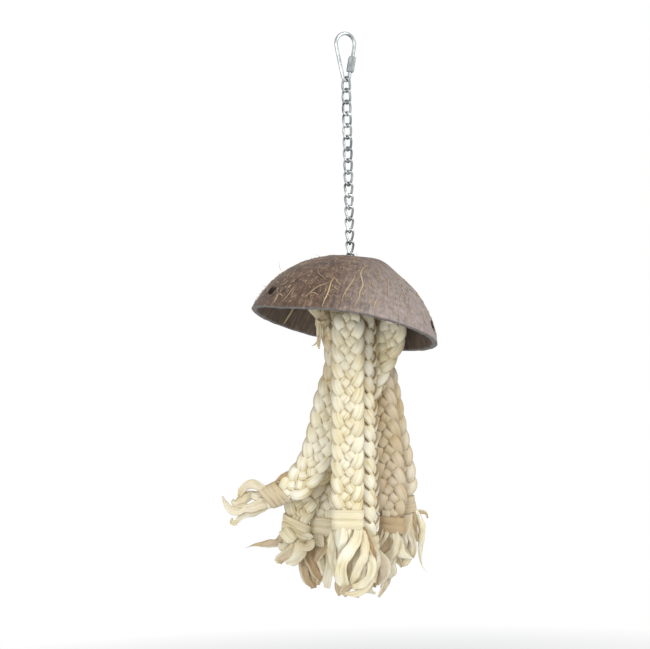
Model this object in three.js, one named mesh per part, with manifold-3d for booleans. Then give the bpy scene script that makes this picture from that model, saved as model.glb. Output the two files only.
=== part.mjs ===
// A hanging chew toy for parrots: a half coconut shell on a chain, with husk braids below it.
// Sizes are in millimetres. Z is up, the viewer stands at -Y, and the origin is where a bar bears in the
// quick link.
import * as THREE from 'three';
import Module from 'manifold-3d';
import { mergeVertices } from 'three/addons/utils/BufferGeometryUtils.js';

// Shared clearance between pieces that touch.
const FIT_GAP = 0.36;

// Quick link and its nut.
const LINK_WIRE = 2.2;
const LINK_LENGTH = 32;
const LINK_WIDTH = 15.8;
const NUT_LENGTH = 10;
const NUT_ACROSS = 4.4;
const NUT_DOWN = 11.4;
const NUT_GRIP = 2.6;

// Chain.
const CHAIN_WIRE = 1.5;
const CHAIN_WIDTH = 6.2;
const CHAIN_PITCH = 7.41;
const CHAIN_LINKS = 16;
const CHAIN_START_DEG = -59;
const CHAIN_TWIST_DEG = 94;

// Carrier ring under the crown.
const RING_WIRE = 2.2;
const RING_OUTER = 20.2;

// Coconut shell.
const SHELL_RIM = 120;
const SHELL_HEIGHT = 45;
const SHELL_WALL = 3.5;
const SHELL_ROLL_DEG = 12.8;
const SHELL_PITCH_DEG = 10;
const SHELL_SEAT_GAP = 0.7;
const CROWN_HOLE = 10;
const SIDE_HOLE = 7.4;
const SIDE_HOLE_RISE = 9;
const SIDE_HOLE_TURNS = [-60, 72, 184];
const CUT_DIP = 3.4;
const CUT_DIP_RISE = 20;
const CUT_DIP_TURN_DEG = -42;
const CUT_DIP_SHARP = 6;

// Braids, their ties and their hangers.
const BRAID_WIDTH = 21;
const BRAID_THICK = 7.5;
const NECK_WIDTH = 8.8;
const NECK_THICK = 7;
const FAN_FLARE = 0.6;
const END_TAPER = 8;
const STRIP_THICK = 0.9;
const STRIP_GAP = 0.9;
const NECK_STRIP_GAP = 1.4;
const NECK_TIE = 6.2;
const NECK_TURNS = 2;
const TAIL_LIFT = 0.3;
const TWINE = 1.3;
const TWINE_STEP_DEG = 16;
const TWINE_FOOT = 2.2;
const HUSK_THICK = 0.9;
const HUSK_PLUG = 4;

const DEG = Math.PI / 180;
const V = (x, y, z) => new THREE.Vector3(x, y, z);
const ease = (t) => {
  const c = Math.min(Math.max(t, 0), 1);
  return c * c * (3 - 2 * c);
};
const wasm = await Module();
wasm.setup();

// Each braid: a route chosen by hand from its top to its cut end, counted from the bottom of the carrier
// ring, the way its flat side faces, the lengths over which it fans out above its neck and opens below it,
// its width in the end tie, that tie's length and turns, its place on the ring, and its loose strips.
// A strip is [across, front, fan at the start, fan at the end, lean at the start, lean at the end, length,
// width].
const BRAIDS = {
  left: {
    route: [
      [-22.5, -8, -4], [-20, -8.5, -10.5], [-17.2, -9, -20.5], [-13, -9.5, -33], [-10.6, -9.5, -48],
      [-14.6, -9.5, -67], [-19.8, -9.5, -88], [-24, -9.5, -101.5], [-29.2, -9.5, -111.5], [-36, -9.5, -118.9],
      [-44.2, -9.5, -123.6], [-57.5, -9.5, -128.4],
    ],
    face: 0, fan: 12, open: 50, end: 13.5, tie: 12.4, turns: 4, slot: -3, tail: 13,
    strips: [
      [-3.2, 1, -62, 74, 12, -10, 27, 5], [-1, -1, -8, -34, 6, 14, 29, 5], [2.6, 1, 22, 4, 14, -8, 28, 5],
      [3, -1.6, 34, -10, -18, 10, 22, 4.6],
    ],
  },
  front: {
    route: [
      [0, -10.5, -5], [-0.8, -13.4, -9], [-1.7, -16.3, -14], [-2.4, -18.2, -21], [-3, -19.3, -33],
      [-4, -20.2, -68], [-5, -20.5, -108], [-5.5, -20.5, -134], [-5.9, -20.5, -148],
    ],
    face: 0, fan: 2, open: 8, end: 19.6, tie: 12.6, turns: 2, slot: 0,
    strips: [
      [-6.2, 1, -18, 30, 24, -40, 40, 7.4], [-2, 2, -6, 8, 34, -46, 42, 7.6],
      [2.8, 1.8, 6, -8, 30, -44, 41, 7.4],
      [6.2, 0.8, 14, -26, 18, -34, 39, 7], [0.5, -2, 0, 4, -22, 30, 39, 8],
      [-4.6, -1.6, -12, 12, -20, 26, 37, 7],
    ],
  },
  right_front: {
    route: [
      [8.6, -7.6, -5], [9.8, -7.4, -11], [10.2, -6.3, -20], [9.6, -5.7, -32], [9.2, -5.7, -48],
      [9.2, -5.7, -78], [9, -5.7, -118], [8.8, -5.7, -148], [9, -5.7, -164],
    ],
    face: 75, fan: 3, open: 16, end: 12, tie: 10.5, turns: 2, slot: 3,
    strips: [
      [-3.4, 1, -14, 12, 10, 4, 25, 6.4], [0, 1.6, 2, -6, 18, -12, 27, 6.6],
      [3.4, 0.8, 12, -12, 8, 6, 24, 6.2],
      [1, -1.6, 0, 6, -8, 10, 23, 6],
    ],
  },
  right: {
    route: [
      [14.9, 12.6, -5], [16.5, 15.4, -12], [16.4, 17, -22], [14.8, 17.2, -36], [15.8, 17.2, -56],
      [18.8, 17.2, -84], [21.2, 17.2, -110], [22.6, 17.2, -132], [22.6, 17.2, -153.6],
    ],
    face: 0, fan: 3, open: 16, end: 14, tie: 10.5, turns: 2, slot: 2,
    strips: [
      [-4.4, 1.4, -10, 10, 16, -14, 40, 6.4], [0, 2, 2, 0, 24, -18, 42, 7],
      [4.4, 1, 14, -12, 12, -10, 38, 6.4],
      [1.8, -1.6, 8, -6, -8, 10, 37, 6.4], [-2.4, -1.4, -6, 4, -8, 12, 36, 6.4],
    ],
  },
  right_rear: {
    route: [
      [2.6, 14.2, -5], [4.4, 19.5, -11], [7.2, 24.8, -19], [11.4, 28.2, -30], [15.6, 29, -42],
      [19.4, 29, -60], [24.2, 29, -90], [28.4, 29, -114], [31.4, 29, -142],
    ],
    face: 0, fan: 3, open: 18, end: 13, tie: 10.5, turns: 2, slot: 1,
    strips: [
      [-4, 1.2, -8, 8, 6, -10, 34, 6.2], [0, 1.6, 4, -4, 8, -12, 36, 6.4], [4.2, 1, 22, -14, 6, -6, 37, 6.2],
      [1.5, -1.8, 10, -4, -14, 12, 34, 6], [5, 0, 56, 84, 4, 10, 19, 3], [5, -1, 34, 4, -6, 6, 42, 3],
    ],
  },
  left_rear: {
    route: [
      [16.8, 2.1, -5], [21, 4.6, -11.5], [24.8, 7.6, -19], [24, 9, -29], [15.8, 9.2, -45],
      [4.6, 9.2, -66], [-7.6, 9.2, -86], [-19.4, 9.2, -105],
      [-29, 9.2, -120], [-36, 9.2, -137], [-39.4, 9.2, -153.5],
    ],
    face: 0, fan: 3, open: 16, end: 16.5, tie: 10.5, turns: 2, slot: 4,
    strips: [
      [4.2, 1.2, 26, -34, 14, -10, 25, 6.4], [0.5, 2, 4, -30, 22, -16, 27, 6.8],
      [-3.8, 1, -20, 14, 10, 6, 24, 6],
      [-4.4, -1, -62, -44, 0, 4, 33, 4], [1.5, -1.8, 8, -12, -12, 12, 24, 6.4],
    ],
  },
  rear: {
    route: [
      [-9.4, 8.6, -5], [-10, 12.4, -11.5], [-9.4, 15.8, -20], [-8.2, 17.2, -31], [-8, 17.4, -44],
      [-9.4, 17.4, -58], [-13, 17.4, -80], [-17, 17.4, -108], [-20.2, 17.4, -132], [-22.7, 17.4, -153.5],
    ],
    face: 0, fan: 3, open: 40, end: 14, tie: 10.5, turns: 2, slot: -2,
    strips: [
      [-4, 1.2, -18, 16, 14, -10, 32, 6.6], [0, 1.8, 0, -4, 18, -14, 35, 7],
      [4, 1, 14, -16, 12, -10, 32, 6.4],
      [0.5, -1.8, 4, 0, -16, 14, 33, 7],
    ],
  },
};

const group = new THREE.Group();

// Colours of the five materials.
const STEEL = 0xb9bbbd;
const COCONUT = 0x7b675e;
const HUSK = 0xe6d6ab;
const HUSK_DARK = 0xcdb98c;
const TWINE_TAN = 0xb79f6c;

function add(name, geometry, colour) {
  const mesh = new THREE.Mesh(geometry, new THREE.MeshStandardMaterial({ color: colour, roughness: 0.7 }));
  mesh.name = name;
  group.add(mesh);
}

// Closed surface through rings of points, with its ends capped, or joined end to end when it is a loop.
function skin(rings, loop) {
  const n = rings[0].length;
  const points = rings.flat();
  const index = [];
  const steps = loop ? rings.length : rings.length - 1;
  for (let i = 0; i < steps; i++) {
    const a = i * n;
    const b = ((i + 1) % rings.length) * n;
    for (let j = 0; j < n; j++) {
      const k = (j + 1) % n;
      index.push(a + j, a + k, b + k, a + j, b + k, b + j);
    }
  }
  if (!loop) {
    const last = (rings.length - 1) * n;
    for (let j = 1; j < n - 1; j++) {
      index.push(0, j + 1, j, last, last + j, last + j + 1);
    }
  }
  let volume = 0;
  for (let i = 0; i < index.length; i += 3) {
    volume += points[index[i]].dot(V().crossVectors(points[index[i + 1]], points[index[i + 2]]));
  }
  if (volume < 0) {
    index.reverse();
  }
  const g = new THREE.BufferGeometry();
  g.setAttribute('position', new THREE.Float32BufferAttribute(points.flatMap((p) => [p.x, p.y, p.z]), 3));
  g.setIndex(index);
  return g;
}

// Round wire along points that lie close together, kept free of twist by carrying its side along.
function wire(path, diameter, sides, loop) {
  const count = path.length;
  const rings = [];
  let side = null;
  for (let i = 0; i < count; i++) {
    const before = loop ? path[(i + count - 1) % count] : path[Math.max(i - 1, 0)];
    const after = loop ? path[(i + 1) % count] : path[Math.min(i + 1, count - 1)];
    const along = after.clone().sub(before).normalize();
    if (!side) {
      side = Math.abs(along.y) < 0.9 ? V(0, 1, 0) : V(1, 0, 0);
    }
    side = side.clone().addScaledVector(along, -side.dot(along)).normalize();
    const other = V().crossVectors(along, side);
    const ring = [];
    for (let j = 0; j < sides; j++) {
      const a = (2 * Math.PI * j) / sides;
      ring.push(
        path[i].clone().addScaledVector(side, (Math.cos(a) * diameter) / 2)
          .addScaledVector(other, (Math.sin(a) * diameter) / 2),
      );
    }
    rings.push(ring);
  }
  return skin(rings, loop);
}

function solid(geometry) {
  const g = geometry.clone();
  g.deleteAttribute('normal');
  g.deleteAttribute('uv');
  const m = mergeVertices(g, 1e-5);
  return new wasm.Manifold(
    new wasm.Mesh({
      numProp: 3,
      vertProperties: new Float32Array(m.attributes.position.array),
      triVerts: new Uint32Array(m.index.array),
    }),
  );
}

function unsolid(manifold) {
  const mesh = manifold.getMesh();
  const g = new THREE.BufferGeometry();
  g.setAttribute('position', new THREE.BufferAttribute(new Float32Array(mesh.vertProperties), 3));
  g.setIndex(new THREE.BufferAttribute(new Uint32Array(mesh.triVerts), 1));
  return g;
}

function rod(radius, length, sides, at, along) {
  const g = new THREE.CylinderGeometry(radius, radius, length, sides);
  g.applyQuaternion(new THREE.Quaternion().setFromUnitVectors(V(0, 1, 0), along));
  return g.translate(at.x, at.y, at.z);
}

// Quick link: the wide arc hangs at the origin, and its plane is square to the first chain link's top.
const linkTurn = (CHAIN_START_DEG + 90) * DEG;
const flatLink = (u, z) => V(u * Math.cos(linkTurn), u * Math.sin(linkTurn), z);
const topR = (LINK_WIDTH - LINK_WIRE) / 2;
const footR = (LINK_WIRE + CHAIN_WIRE) / 2 + FIT_GAP;
const topZ = LINK_WIRE / 2 - topR;
const footZ = LINK_WIRE - LINK_LENGTH + LINK_WIRE / 2 + footR;
const slant = Math.asin((topR - footR) / (topZ - footZ));
const sideTop = [topR * Math.cos(slant), topZ - topR * Math.sin(slant)];
const sideDown = [-Math.sin(slant), -Math.cos(slant)];
const onSide = (s) => flatLink(sideTop[0] + sideDown[0] * s, sideTop[1] + sideDown[1] * s);
const linkPath = [];
for (let a = -slant; a < Math.PI + slant + 0.01; a += (Math.PI + 2 * slant) / 14) {
  linkPath.push(flatLink(topR * Math.cos(a), topZ + topR * Math.sin(a)));
}
for (let a = Math.PI + slant; a < 2 * Math.PI - slant + 0.01; a += (Math.PI - 2 * slant) / 8) {
  linkPath.push(flatLink(footR * Math.cos(a), footZ + footR * Math.sin(a)));
}
linkPath.unshift(onSide(NUT_DOWN - NUT_LENGTH / 2 + NUT_GRIP));
linkPath.push(onSide(NUT_DOWN + NUT_LENGTH / 2 - NUT_GRIP));
add('quick_link', wire(linkPath, LINK_WIRE, 10, false), STEEL);

const nutAxis = onSide(1).sub(onSide(0)).normalize();
const nutR = NUT_ACROSS / Math.sqrt(3);
const nutProfile = [
  new THREE.Vector2(0, -NUT_LENGTH / 2),
  new THREE.Vector2(nutR * 0.84, -NUT_LENGTH / 2),
  new THREE.Vector2(nutR, -NUT_LENGTH / 2 + nutR * 0.3),
  new THREE.Vector2(nutR, NUT_LENGTH / 2 - nutR * 0.3),
  new THREE.Vector2(nutR * 0.84, NUT_LENGTH / 2),
  new THREE.Vector2(0, NUT_LENGTH / 2),
];
const nutAt = onSide(NUT_DOWN);
const nut = new THREE.LatheGeometry(nutProfile, 6);
nut.applyQuaternion(new THREE.Quaternion().setFromUnitVectors(V(0, 1, 0), nutAxis));
nut.translate(nutAt.x, nutAt.y, nutAt.z);
const nutBore = rod(LINK_WIRE / 2 + FIT_GAP, NUT_LENGTH * 2, 20, nutAt, nutAxis);
add('quick_link_nut', unsolid(solid(nut).subtract(solid(nutBore))), STEEL);

// Chain: each link is an oval twisted about its length, so all links hang the same way round.
const linkHigh = CHAIN_PITCH + CHAIN_WIRE + FIT_GAP;
const bendR = (CHAIN_WIDTH - CHAIN_WIRE) / 2;
const straight = linkHigh - 2 * bendR;
const firstTop = footZ - footR + (LINK_WIRE + CHAIN_WIRE) / 2 + FIT_GAP;
const linkTop = (k) => firstTop - k * CHAIN_PITCH;
const topTurn = (k) => (CHAIN_START_DEG + k * (CHAIN_TWIST_DEG + 90)) * DEG;
for (let k = 0; k < CHAIN_LINKS; k++) {
  const oval = [];
  for (let i = 0; i <= 7; i++) {
    const a = (Math.PI * i) / 7;
    oval.push([bendR * Math.cos(a), -bendR + bendR * Math.sin(a)]);
  }
  oval.push([-bendR, -bendR - straight / 2]);
  for (let i = 0; i <= 7; i++) {
    const a = Math.PI + (Math.PI * i) / 7;
    oval.push([bendR * Math.cos(a), -bendR - straight + bendR * Math.sin(a)]);
  }
  oval.push([bendR, -bendR - straight / 2]);
  const path = oval.map(([u, down]) => {
    const turn = topTurn(k) - (CHAIN_TWIST_DEG * DEG * down) / linkHigh;
    return V(u * Math.cos(turn), u * Math.sin(turn), linkTop(k) + down);
  });
  add(`chain_link_${String(k + 1).padStart(2, '0')}`, wire(path, CHAIN_WIRE, 6, true), STEEL);
}

// Carrier ring: upright, square to the bottom of the last chain link.
const lastFoot = linkTop(CHAIN_LINKS - 1) - linkHigh;
const ringTurn = topTurn(CHAIN_LINKS);
const ringR = (RING_OUTER - RING_WIRE) / 2;
const ringTop = lastFoot + (CHAIN_WIRE + RING_WIRE) / 2 + FIT_GAP;
const ringMiddle = ringTop - ringR;
const ringAcross = V(Math.cos(ringTurn), Math.sin(ringTurn), 0).multiplyScalar(Math.cos(ringTurn) < 0 ? -1 : 1);
const onRing = (a) => {
  const at = ringAcross.clone().multiplyScalar(ringR * Math.sin(a));
  return at.setZ(ringMiddle - ringR * Math.cos(a));
};
const ringPath = [];
for (let i = 0; i < 28; i++) {
  ringPath.push(onRing((2 * Math.PI * i) / 28));
}
add('carrier_ring', wire(ringPath, RING_WIRE, 8, true), STEEL);

// Coconut shell: a cap of a ball that hangs from its crown hole with its weight below the chain.
const ballR = ((SHELL_RIM / 2) ** 2 + SHELL_HEIGHT ** 2) / (2 * SHELL_HEIGHT);
const innerR = ballR - SHELL_WALL;
const lean = new THREE.Euler(-SHELL_PITCH_DEG * DEG, SHELL_ROLL_DEG * DEG, 0, 'YXZ');
const tilt = new THREE.Quaternion().setFromEuler(lean);
const shellAxis = V(0, 0, 1).applyQuaternion(tilt);
const ballBelow = ballR - SHELL_HEIGHT / 2;
const ballOff = shellAxis.clone().multiplyScalar(-ballBelow);
const crownRise = Math.sqrt(innerR ** 2 - ballOff.x ** 2 - ballOff.y ** 2);
const seatSlope = Math.abs(ballOff.x * ringAcross.x + ballOff.y * ringAcross.y) / crownRise;
const seatDrop = RING_OUTER / 2 - Math.sqrt((RING_OUTER / 2) ** 2 - (CROWN_HOLE / 2) ** 2);
const crownZ = ringTop + RING_WIRE / 2 - seatDrop + SHELL_SEAT_GAP + (seatSlope * CROWN_HOLE) / 2;
const ballAt = V(ballOff.x, ballOff.y, crownZ - crownRise);
const rimBelow = ballR - SHELL_HEIGHT;
const shellProfile = [];
const outerTurn = Math.acos(rimBelow / ballR);
for (let i = 0; i <= 9; i++) {
  const a = outerTurn * (1 - i / 9);
  shellProfile.push(new THREE.Vector2(i === 9 ? 0 : ballR * Math.sin(a), ballR * Math.cos(a)));
}
const innerTurn = Math.acos(rimBelow / innerR);
for (let i = 0; i <= 8; i++) {
  const a = (innerTurn * i) / 8;
  shellProfile.push(new THREE.Vector2(i === 0 ? 0 : innerR * Math.sin(a), innerR * Math.cos(a)));
}
shellProfile.push(shellProfile[0].clone());
const shellBlank = new THREE.LatheGeometry(shellProfile, 36).rotateX(Math.PI / 2);

// The cut is not quite level: it dips at the left of the front.
const dipWay = V(Math.sin(CUT_DIP_TURN_DEG * DEG), -Math.cos(CUT_DIP_TURN_DEG * DEG), 0);
const cut = shellBlank.attributes.position;
for (let i = 0; i < cut.count; i++) {
  const share = Math.max(V(cut.getX(i), cut.getY(i), 0).normalize().dot(dipWay), 0) ** CUT_DIP_SHARP;
  const low = ease((rimBelow + CUT_DIP_RISE - cut.getZ(i)) / CUT_DIP_RISE);
  cut.setZ(i, cut.getZ(i) - CUT_DIP * share * low);
}
shellBlank.applyQuaternion(tilt).translate(ballAt.x, ballAt.y, ballAt.z);
const crownHole = rod(CROWN_HOLE / 2, ballR, 20, V(0, 0, crownZ), V(0, 0, 1));
let shell = solid(shellBlank).subtract(solid(crownHole));
for (const turn of SIDE_HOLE_TURNS) {
  const up = rimBelow + SIDE_HOLE_RISE;
  const out = Math.sqrt(ballR ** 2 - up ** 2);
  const way = V(out * Math.sin(turn * DEG), -out * Math.cos(turn * DEG), up).normalize().applyQuaternion(tilt);
  const at = way.clone().multiplyScalar(ballR).add(ballAt);
  shell = shell.subtract(solid(rod(SIDE_HOLE / 2, SHELL_WALL * 6, 14, at, way)));
}
add('coconut_shell', unsolid(shell), COCONUT);

// Points round a flat oval section, with its round ends at both sides.
function oval(width, thick) {
  const r = Math.min(thick, width) / 2;
  const half = width / 2 - r;
  const points = [];
  for (const side of [1, -1]) {
    for (let i = 0; i <= 4; i++) {
      const a = (-90 + 45 * i) * DEG;
      points.push([side * (half + r * Math.cos(a)), side * r * Math.sin(a)]);
    }
  }
  return points;
}

const gaps = [];

// Least distance between strands of one winding, from points on its edges at least half a turn apart.
function leastGap(rings, perTurn) {
  let least = Infinity;
  for (let i = 0; i < rings.length; i++) {
    for (let j = i + Math.ceil(perTurn / 2); j < rings.length; j++) {
      for (const p of rings[i]) {
        for (const q of rings[j]) {
          least = Math.min(least, p.distanceTo(q));
        }
      }
    }
  }
  return least;
}

for (const [name, b] of Object.entries(BRAIDS)) {
  const route = b.route.map((p) => V(...p).add(onRing(0)));
  const curve = new THREE.CatmullRomCurve3(route, false, 'centripetal');
  curve.arcLengthDivisions = 400;
  const long = curve.getLength();
  const facing = V(Math.sin(b.face * DEG), -Math.cos(b.face * DEG), 0);
  const frame = (s) => {
    const t = Math.min(Math.max(s / long, 0), 1);
    const along = curve.getTangentAt(t);
    const across = V().crossVectors(facing, along).normalize();
    const front = V().crossVectors(along, across);
    const at = curve.getPointAt(t).addScaledVector(along, s - t * long);
    return { at, along, across, front };
  };
  const place = (f, u, v) => f.at.clone().addScaledVector(f.across, u).addScaledVector(f.front, v);
  const neckEnd = b.fan + NECK_TIE;
  const endStart = long - b.tie;
  const widthAt = (s) => {
    if (s < b.fan) {
      return NECK_WIDTH + (b.fan - s) * FAN_FLARE;
    }
    const opened = NECK_WIDTH + (BRAID_WIDTH - NECK_WIDTH) * ease((s - neckEnd) / b.open);
    return opened + (b.end - opened) * ease((s - endStart + END_TAPER) / END_TAPER);
  };
  const thickAt = (s) => {
    const full = ease((s - neckEnd) / b.open) * ease((endStart - s) / END_TAPER);
    return NECK_THICK + (BRAID_THICK - NECK_THICK) * full;
  };

  // The braid itself, plain, from its fanned top to the bottom of its end tie.
  const stops = [0, b.fan, b.fan + NECK_TIE / 2, neckEnd];
  const middle = Math.round((endStart - neckEnd) / 9);
  for (let i = 1; i <= middle; i++) {
    stops.push(neckEnd + ((endStart - neckEnd) * i) / middle);
  }
  stops.push(long - (b.tie * 2) / 3, long - b.tie / 3, long);
  const body = stops.map((s) => oval(widthAt(s), thickAt(s)).map(([u, v]) => place(frame(s), u, v)));
  add(`braid_${name}`, skin(body, false), HUSK);

  // A wound strip: one unbroken band round the braid, from start over its length.
  const winding = (start, length, turns, gap, tail) => {
    const band = (length - turns * gap) / (turns + 1);
    const perTurn = 10;
    const rings = [];
    for (let i = 0; i <= turns * perTurn; i++) {
      const s = start + band / 2 + (length - band) * (i / (turns * perTurn));
      const f = frame(s);
      const grow = FIT_GAP + STRIP_THICK / 2;
      const wide = widthAt(s) + 2 * grow;
      const deep = thickAt(s) + 2 * grow;
      const inner = oval(wide - STRIP_THICK, deep - STRIP_THICK)[(i + 5) % perTurn];
      const outer = oval(wide + STRIP_THICK, deep + STRIP_THICK)[(i + 5) % perTurn];
      const up = f.along.clone().multiplyScalar(-band / 2);
      const [a, c] = [place(f, ...inner), place(f, ...outer)];
      rings.push([a.clone().add(up), c.clone().add(up), c.clone().sub(up), a.clone().sub(up)]);
    }
    const least = leastGap(rings, perTurn);
    gaps.push(least);
    if (tail > 0) {
      // The strip turns down over its edge and hangs clear in front of the braid.
      const f = frame(start + length - band / 2);
      const bend = band;
      const from = rings[rings.length - 1].reduce((sum, p) => sum.add(p), V()).divideScalar(4);
      for (let i = 1; i <= 7; i++) {
        const a = (Math.min(i, 3) / 3) * (Math.PI / 2);
        const down = bend * (1 - Math.cos(a)) + (Math.max(i - 3, 0) * tail) / 4;
        const at = from.clone().addScaledVector(f.across, -bend * Math.sin(a)).addScaledVector(f.along, down)
          .addScaledVector(f.front, i * TAIL_LIFT);
        const edge = f.along.clone().multiplyScalar(-Math.cos(a)).addScaledVector(f.across, -Math.sin(a));
        edge.multiplyScalar(band / 2);
        const deep = f.front.clone().multiplyScalar(STRIP_THICK / 2);
        rings.push([
          at.clone().add(edge).sub(deep), at.clone().add(edge).add(deep),
          at.clone().sub(edge).add(deep), at.clone().sub(edge).sub(deep),
        ]);
      }
    }
    return skin(rings, false);
  };
  add(`neck_tie_${name}`, winding(b.fan, NECK_TIE, NECK_TURNS, NECK_STRIP_GAP, b.tail ?? 0), HUSK_DARK);
  add(`end_tie_${name}`, winding(endStart, b.tie, b.turns, STRIP_GAP, 0), HUSK_DARK);

  // Loose strips below the end tie, fused to a short plug.
  const foot = frame(long + FIT_GAP);
  const plug = [long + FIT_GAP, long + FIT_GAP + HUSK_PLUG].map((s) =>
    oval(b.end, NECK_THICK).map(([u, v]) => place(frame(s), u, v)));
  let ends = solid(skin(plug, false));
  for (const [u, v, fan0, fan1, lean0, lean1, length, wide] of b.strips) {
    const at = place(foot, u, v).addScaledVector(foot.along, HUSK_PLUG * 0.7);
    const rings = [];
    const steps = 7;
    for (let i = 0; i <= steps; i++) {
      const t = i / steps;
      const fan = (fan0 + (fan1 - fan0) * t) * DEG;
      const lean = (lean0 + (lean1 - lean0) * t) * DEG;
      const way = foot.along.clone().multiplyScalar(Math.cos(fan) * Math.cos(lean))
        .addScaledVector(foot.across, Math.sin(fan) * Math.cos(lean))
        .addScaledVector(foot.front, Math.sin(lean));
      const flat = V().crossVectors(foot.front, way).normalize();
      const up = V().crossVectors(way, flat).multiplyScalar(HUSK_THICK / 2);
      flat.multiplyScalar((wide / 2) * (i === steps ? 0.5 : 1));
      rings.push([
        at.clone().add(flat).add(up), at.clone().sub(flat).add(up),
        at.clone().sub(flat).sub(up), at.clone().add(flat).sub(up),
      ]);
      at.addScaledVector(way, length / steps);
    }
    ends = ends.add(solid(skin(rings, false)));
  }
  add(`husk_ends_${name}`, unsolid(ends), HUSK);

  // Hanger: a loop of twine over the ring, with both ends standing on the top of the braid.
  const loopTurn = b.slot * TWINE_STEP_DEG * DEG;
  const hold = onRing(loopTurn);
  const wireWay = ringAcross.clone().multiplyScalar(Math.cos(loopTurn)).add(V(0, 0, Math.sin(loopTurn)));
  const top = frame(0);
  const pull = top.at.clone().addScaledVector(top.along, -TWINE_FOOT).sub(hold);
  pull.addScaledVector(wireWay, -pull.dot(wireWay)).normalize();
  const spread = V().crossVectors(wireWay, pull);
  const round = (RING_WIRE + TWINE) / 2 + FIT_GAP;
  const half = TWINE / 2 + FIT_GAP;
  const apart = spread.clone().addScaledVector(top.along, -spread.dot(top.along)).normalize();
  const legs = (side) => [
    top.at.clone().addScaledVector(top.along, -FIT_GAP).addScaledVector(apart, side * half),
    top.at.clone().addScaledVector(top.along, -TWINE_FOOT).addScaledVector(apart, side * half),
  ];
  const loop = [];
  for (let i = 0; i <= 8; i++) {
    const a = (Math.PI * i) / 8;
    loop.push(hold.clone().addScaledVector(spread, round * Math.cos(a)).addScaledVector(pull, -round * Math.sin(a)));
  }
  add(`hanger_${name}`, wire([...legs(1), ...loop, ...legs(-1).reverse()], TWINE, 6, false), TWINE_TAN);
}

console.log(`least gap in a winding: ${Math.min(...gaps).toFixed(2)} mm`);

export default group;
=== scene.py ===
# %% [markdown]
# # A hanging chew toy for parrots
# Half a coconut shell hangs mouth down on a chain, and flat plaits of maize husk hang under it. The solids
# already give every piece its place, so they are loaded first, and the looks are built onto them.

# %% Load the frame
import math
import random
import bmesh
import bpy
from mathutils import Matrix, Vector, noise


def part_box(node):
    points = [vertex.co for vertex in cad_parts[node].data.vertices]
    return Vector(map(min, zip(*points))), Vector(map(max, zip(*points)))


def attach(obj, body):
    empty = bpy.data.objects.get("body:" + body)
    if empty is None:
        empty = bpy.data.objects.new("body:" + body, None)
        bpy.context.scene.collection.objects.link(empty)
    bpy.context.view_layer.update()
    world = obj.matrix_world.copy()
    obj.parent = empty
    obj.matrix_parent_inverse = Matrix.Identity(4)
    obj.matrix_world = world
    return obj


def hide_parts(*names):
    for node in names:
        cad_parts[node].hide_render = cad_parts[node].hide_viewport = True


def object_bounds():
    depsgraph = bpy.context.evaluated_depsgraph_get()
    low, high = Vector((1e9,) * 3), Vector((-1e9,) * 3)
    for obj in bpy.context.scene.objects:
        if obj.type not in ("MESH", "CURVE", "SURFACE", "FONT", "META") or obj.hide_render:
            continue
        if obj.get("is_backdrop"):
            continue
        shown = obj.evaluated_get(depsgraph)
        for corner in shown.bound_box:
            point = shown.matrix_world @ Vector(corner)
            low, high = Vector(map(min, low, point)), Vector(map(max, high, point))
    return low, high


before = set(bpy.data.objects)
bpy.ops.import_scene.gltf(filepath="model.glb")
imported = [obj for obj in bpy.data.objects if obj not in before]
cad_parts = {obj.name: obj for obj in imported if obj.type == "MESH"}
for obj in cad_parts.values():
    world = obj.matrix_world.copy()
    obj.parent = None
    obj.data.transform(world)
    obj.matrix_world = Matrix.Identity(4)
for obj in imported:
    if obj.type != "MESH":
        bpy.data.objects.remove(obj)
solid_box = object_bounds()
MM = 0.001

# %% [markdown]
# ## The camera
# The photograph was taken level with the toy, from far off, and the camera leaned a little to one side.
# The size of a pixel at the chain sets how much the lens takes in, so the render lies over the photograph.
# It could be set by eye, but a lens that is worked out needs no trying.

# %% Camera
PHOTO_WIDTH = 650
PHOTO_HEIGHT = 649
PIXEL_SIZE = 0.632
HANG_PIXEL = (345, 35.3)
CAMERA_LEAN = 1.35
CAMERA_FAR = 1700


def photo_point(px, py):
    """X and Z, in millimetres, of a pixel of the photograph in the plane of the chain."""
    lean = math.tan(math.radians(CAMERA_LEAN))
    right = px - HANG_PIXEL[0]
    down = py - HANG_PIXEL[1]
    return PIXEL_SIZE * (right - lean * down), -PIXEL_SIZE * (down + lean * right)


lens = bpy.data.cameras.new("camera")
lens.sensor_width = 36
lens.lens = lens.sensor_width * CAMERA_FAR / (PHOTO_WIDTH * PIXEL_SIZE)
lens.clip_end = 20
camera = bpy.data.objects.new("camera", lens)
bpy.context.scene.collection.objects.link(camera)
middle_x, middle_z = photo_point(PHOTO_WIDTH / 2, PHOTO_HEIGHT / 2)
camera.location = Vector((middle_x, -CAMERA_FAR, middle_z)) * MM
lean_turn = Matrix.Rotation(math.radians(CAMERA_LEAN), 3, "Y")
camera.rotation_euler = (lean_turn @ Matrix.Rotation(math.radians(90), 3, "X")).to_euler()
bpy.context.scene.camera = camera
bpy.context.scene.view_settings.view_transform = "Standard"
print(f"lens of {lens.lens:.0f} mm")

# %% [markdown]
# ## Helpers for materials
# Colours are picked as sRGB hex values, and the shader wants linear light, so one function turns them.
# Another adds a node, sets what it holds and links what feeds it. The short ones after it add what the
# materials here share: noise in space, noise drawn out along a strip, mixes, a colour ramp and a relief.

# %% Material helpers
RELIEF_STRENGTH = 0.5
STRIP_DETAIL = 4


def linear(hex_code):
    """An sRGB hex value as a linear colour."""
    values = [int(hex_code[i : i + 2], 16) / 255 for i in (1, 3, 5)]
    return [v / 12.92 if v < 0.04045 else ((v + 0.055) / 1.055) ** 2.4 for v in values] + [1]


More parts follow.
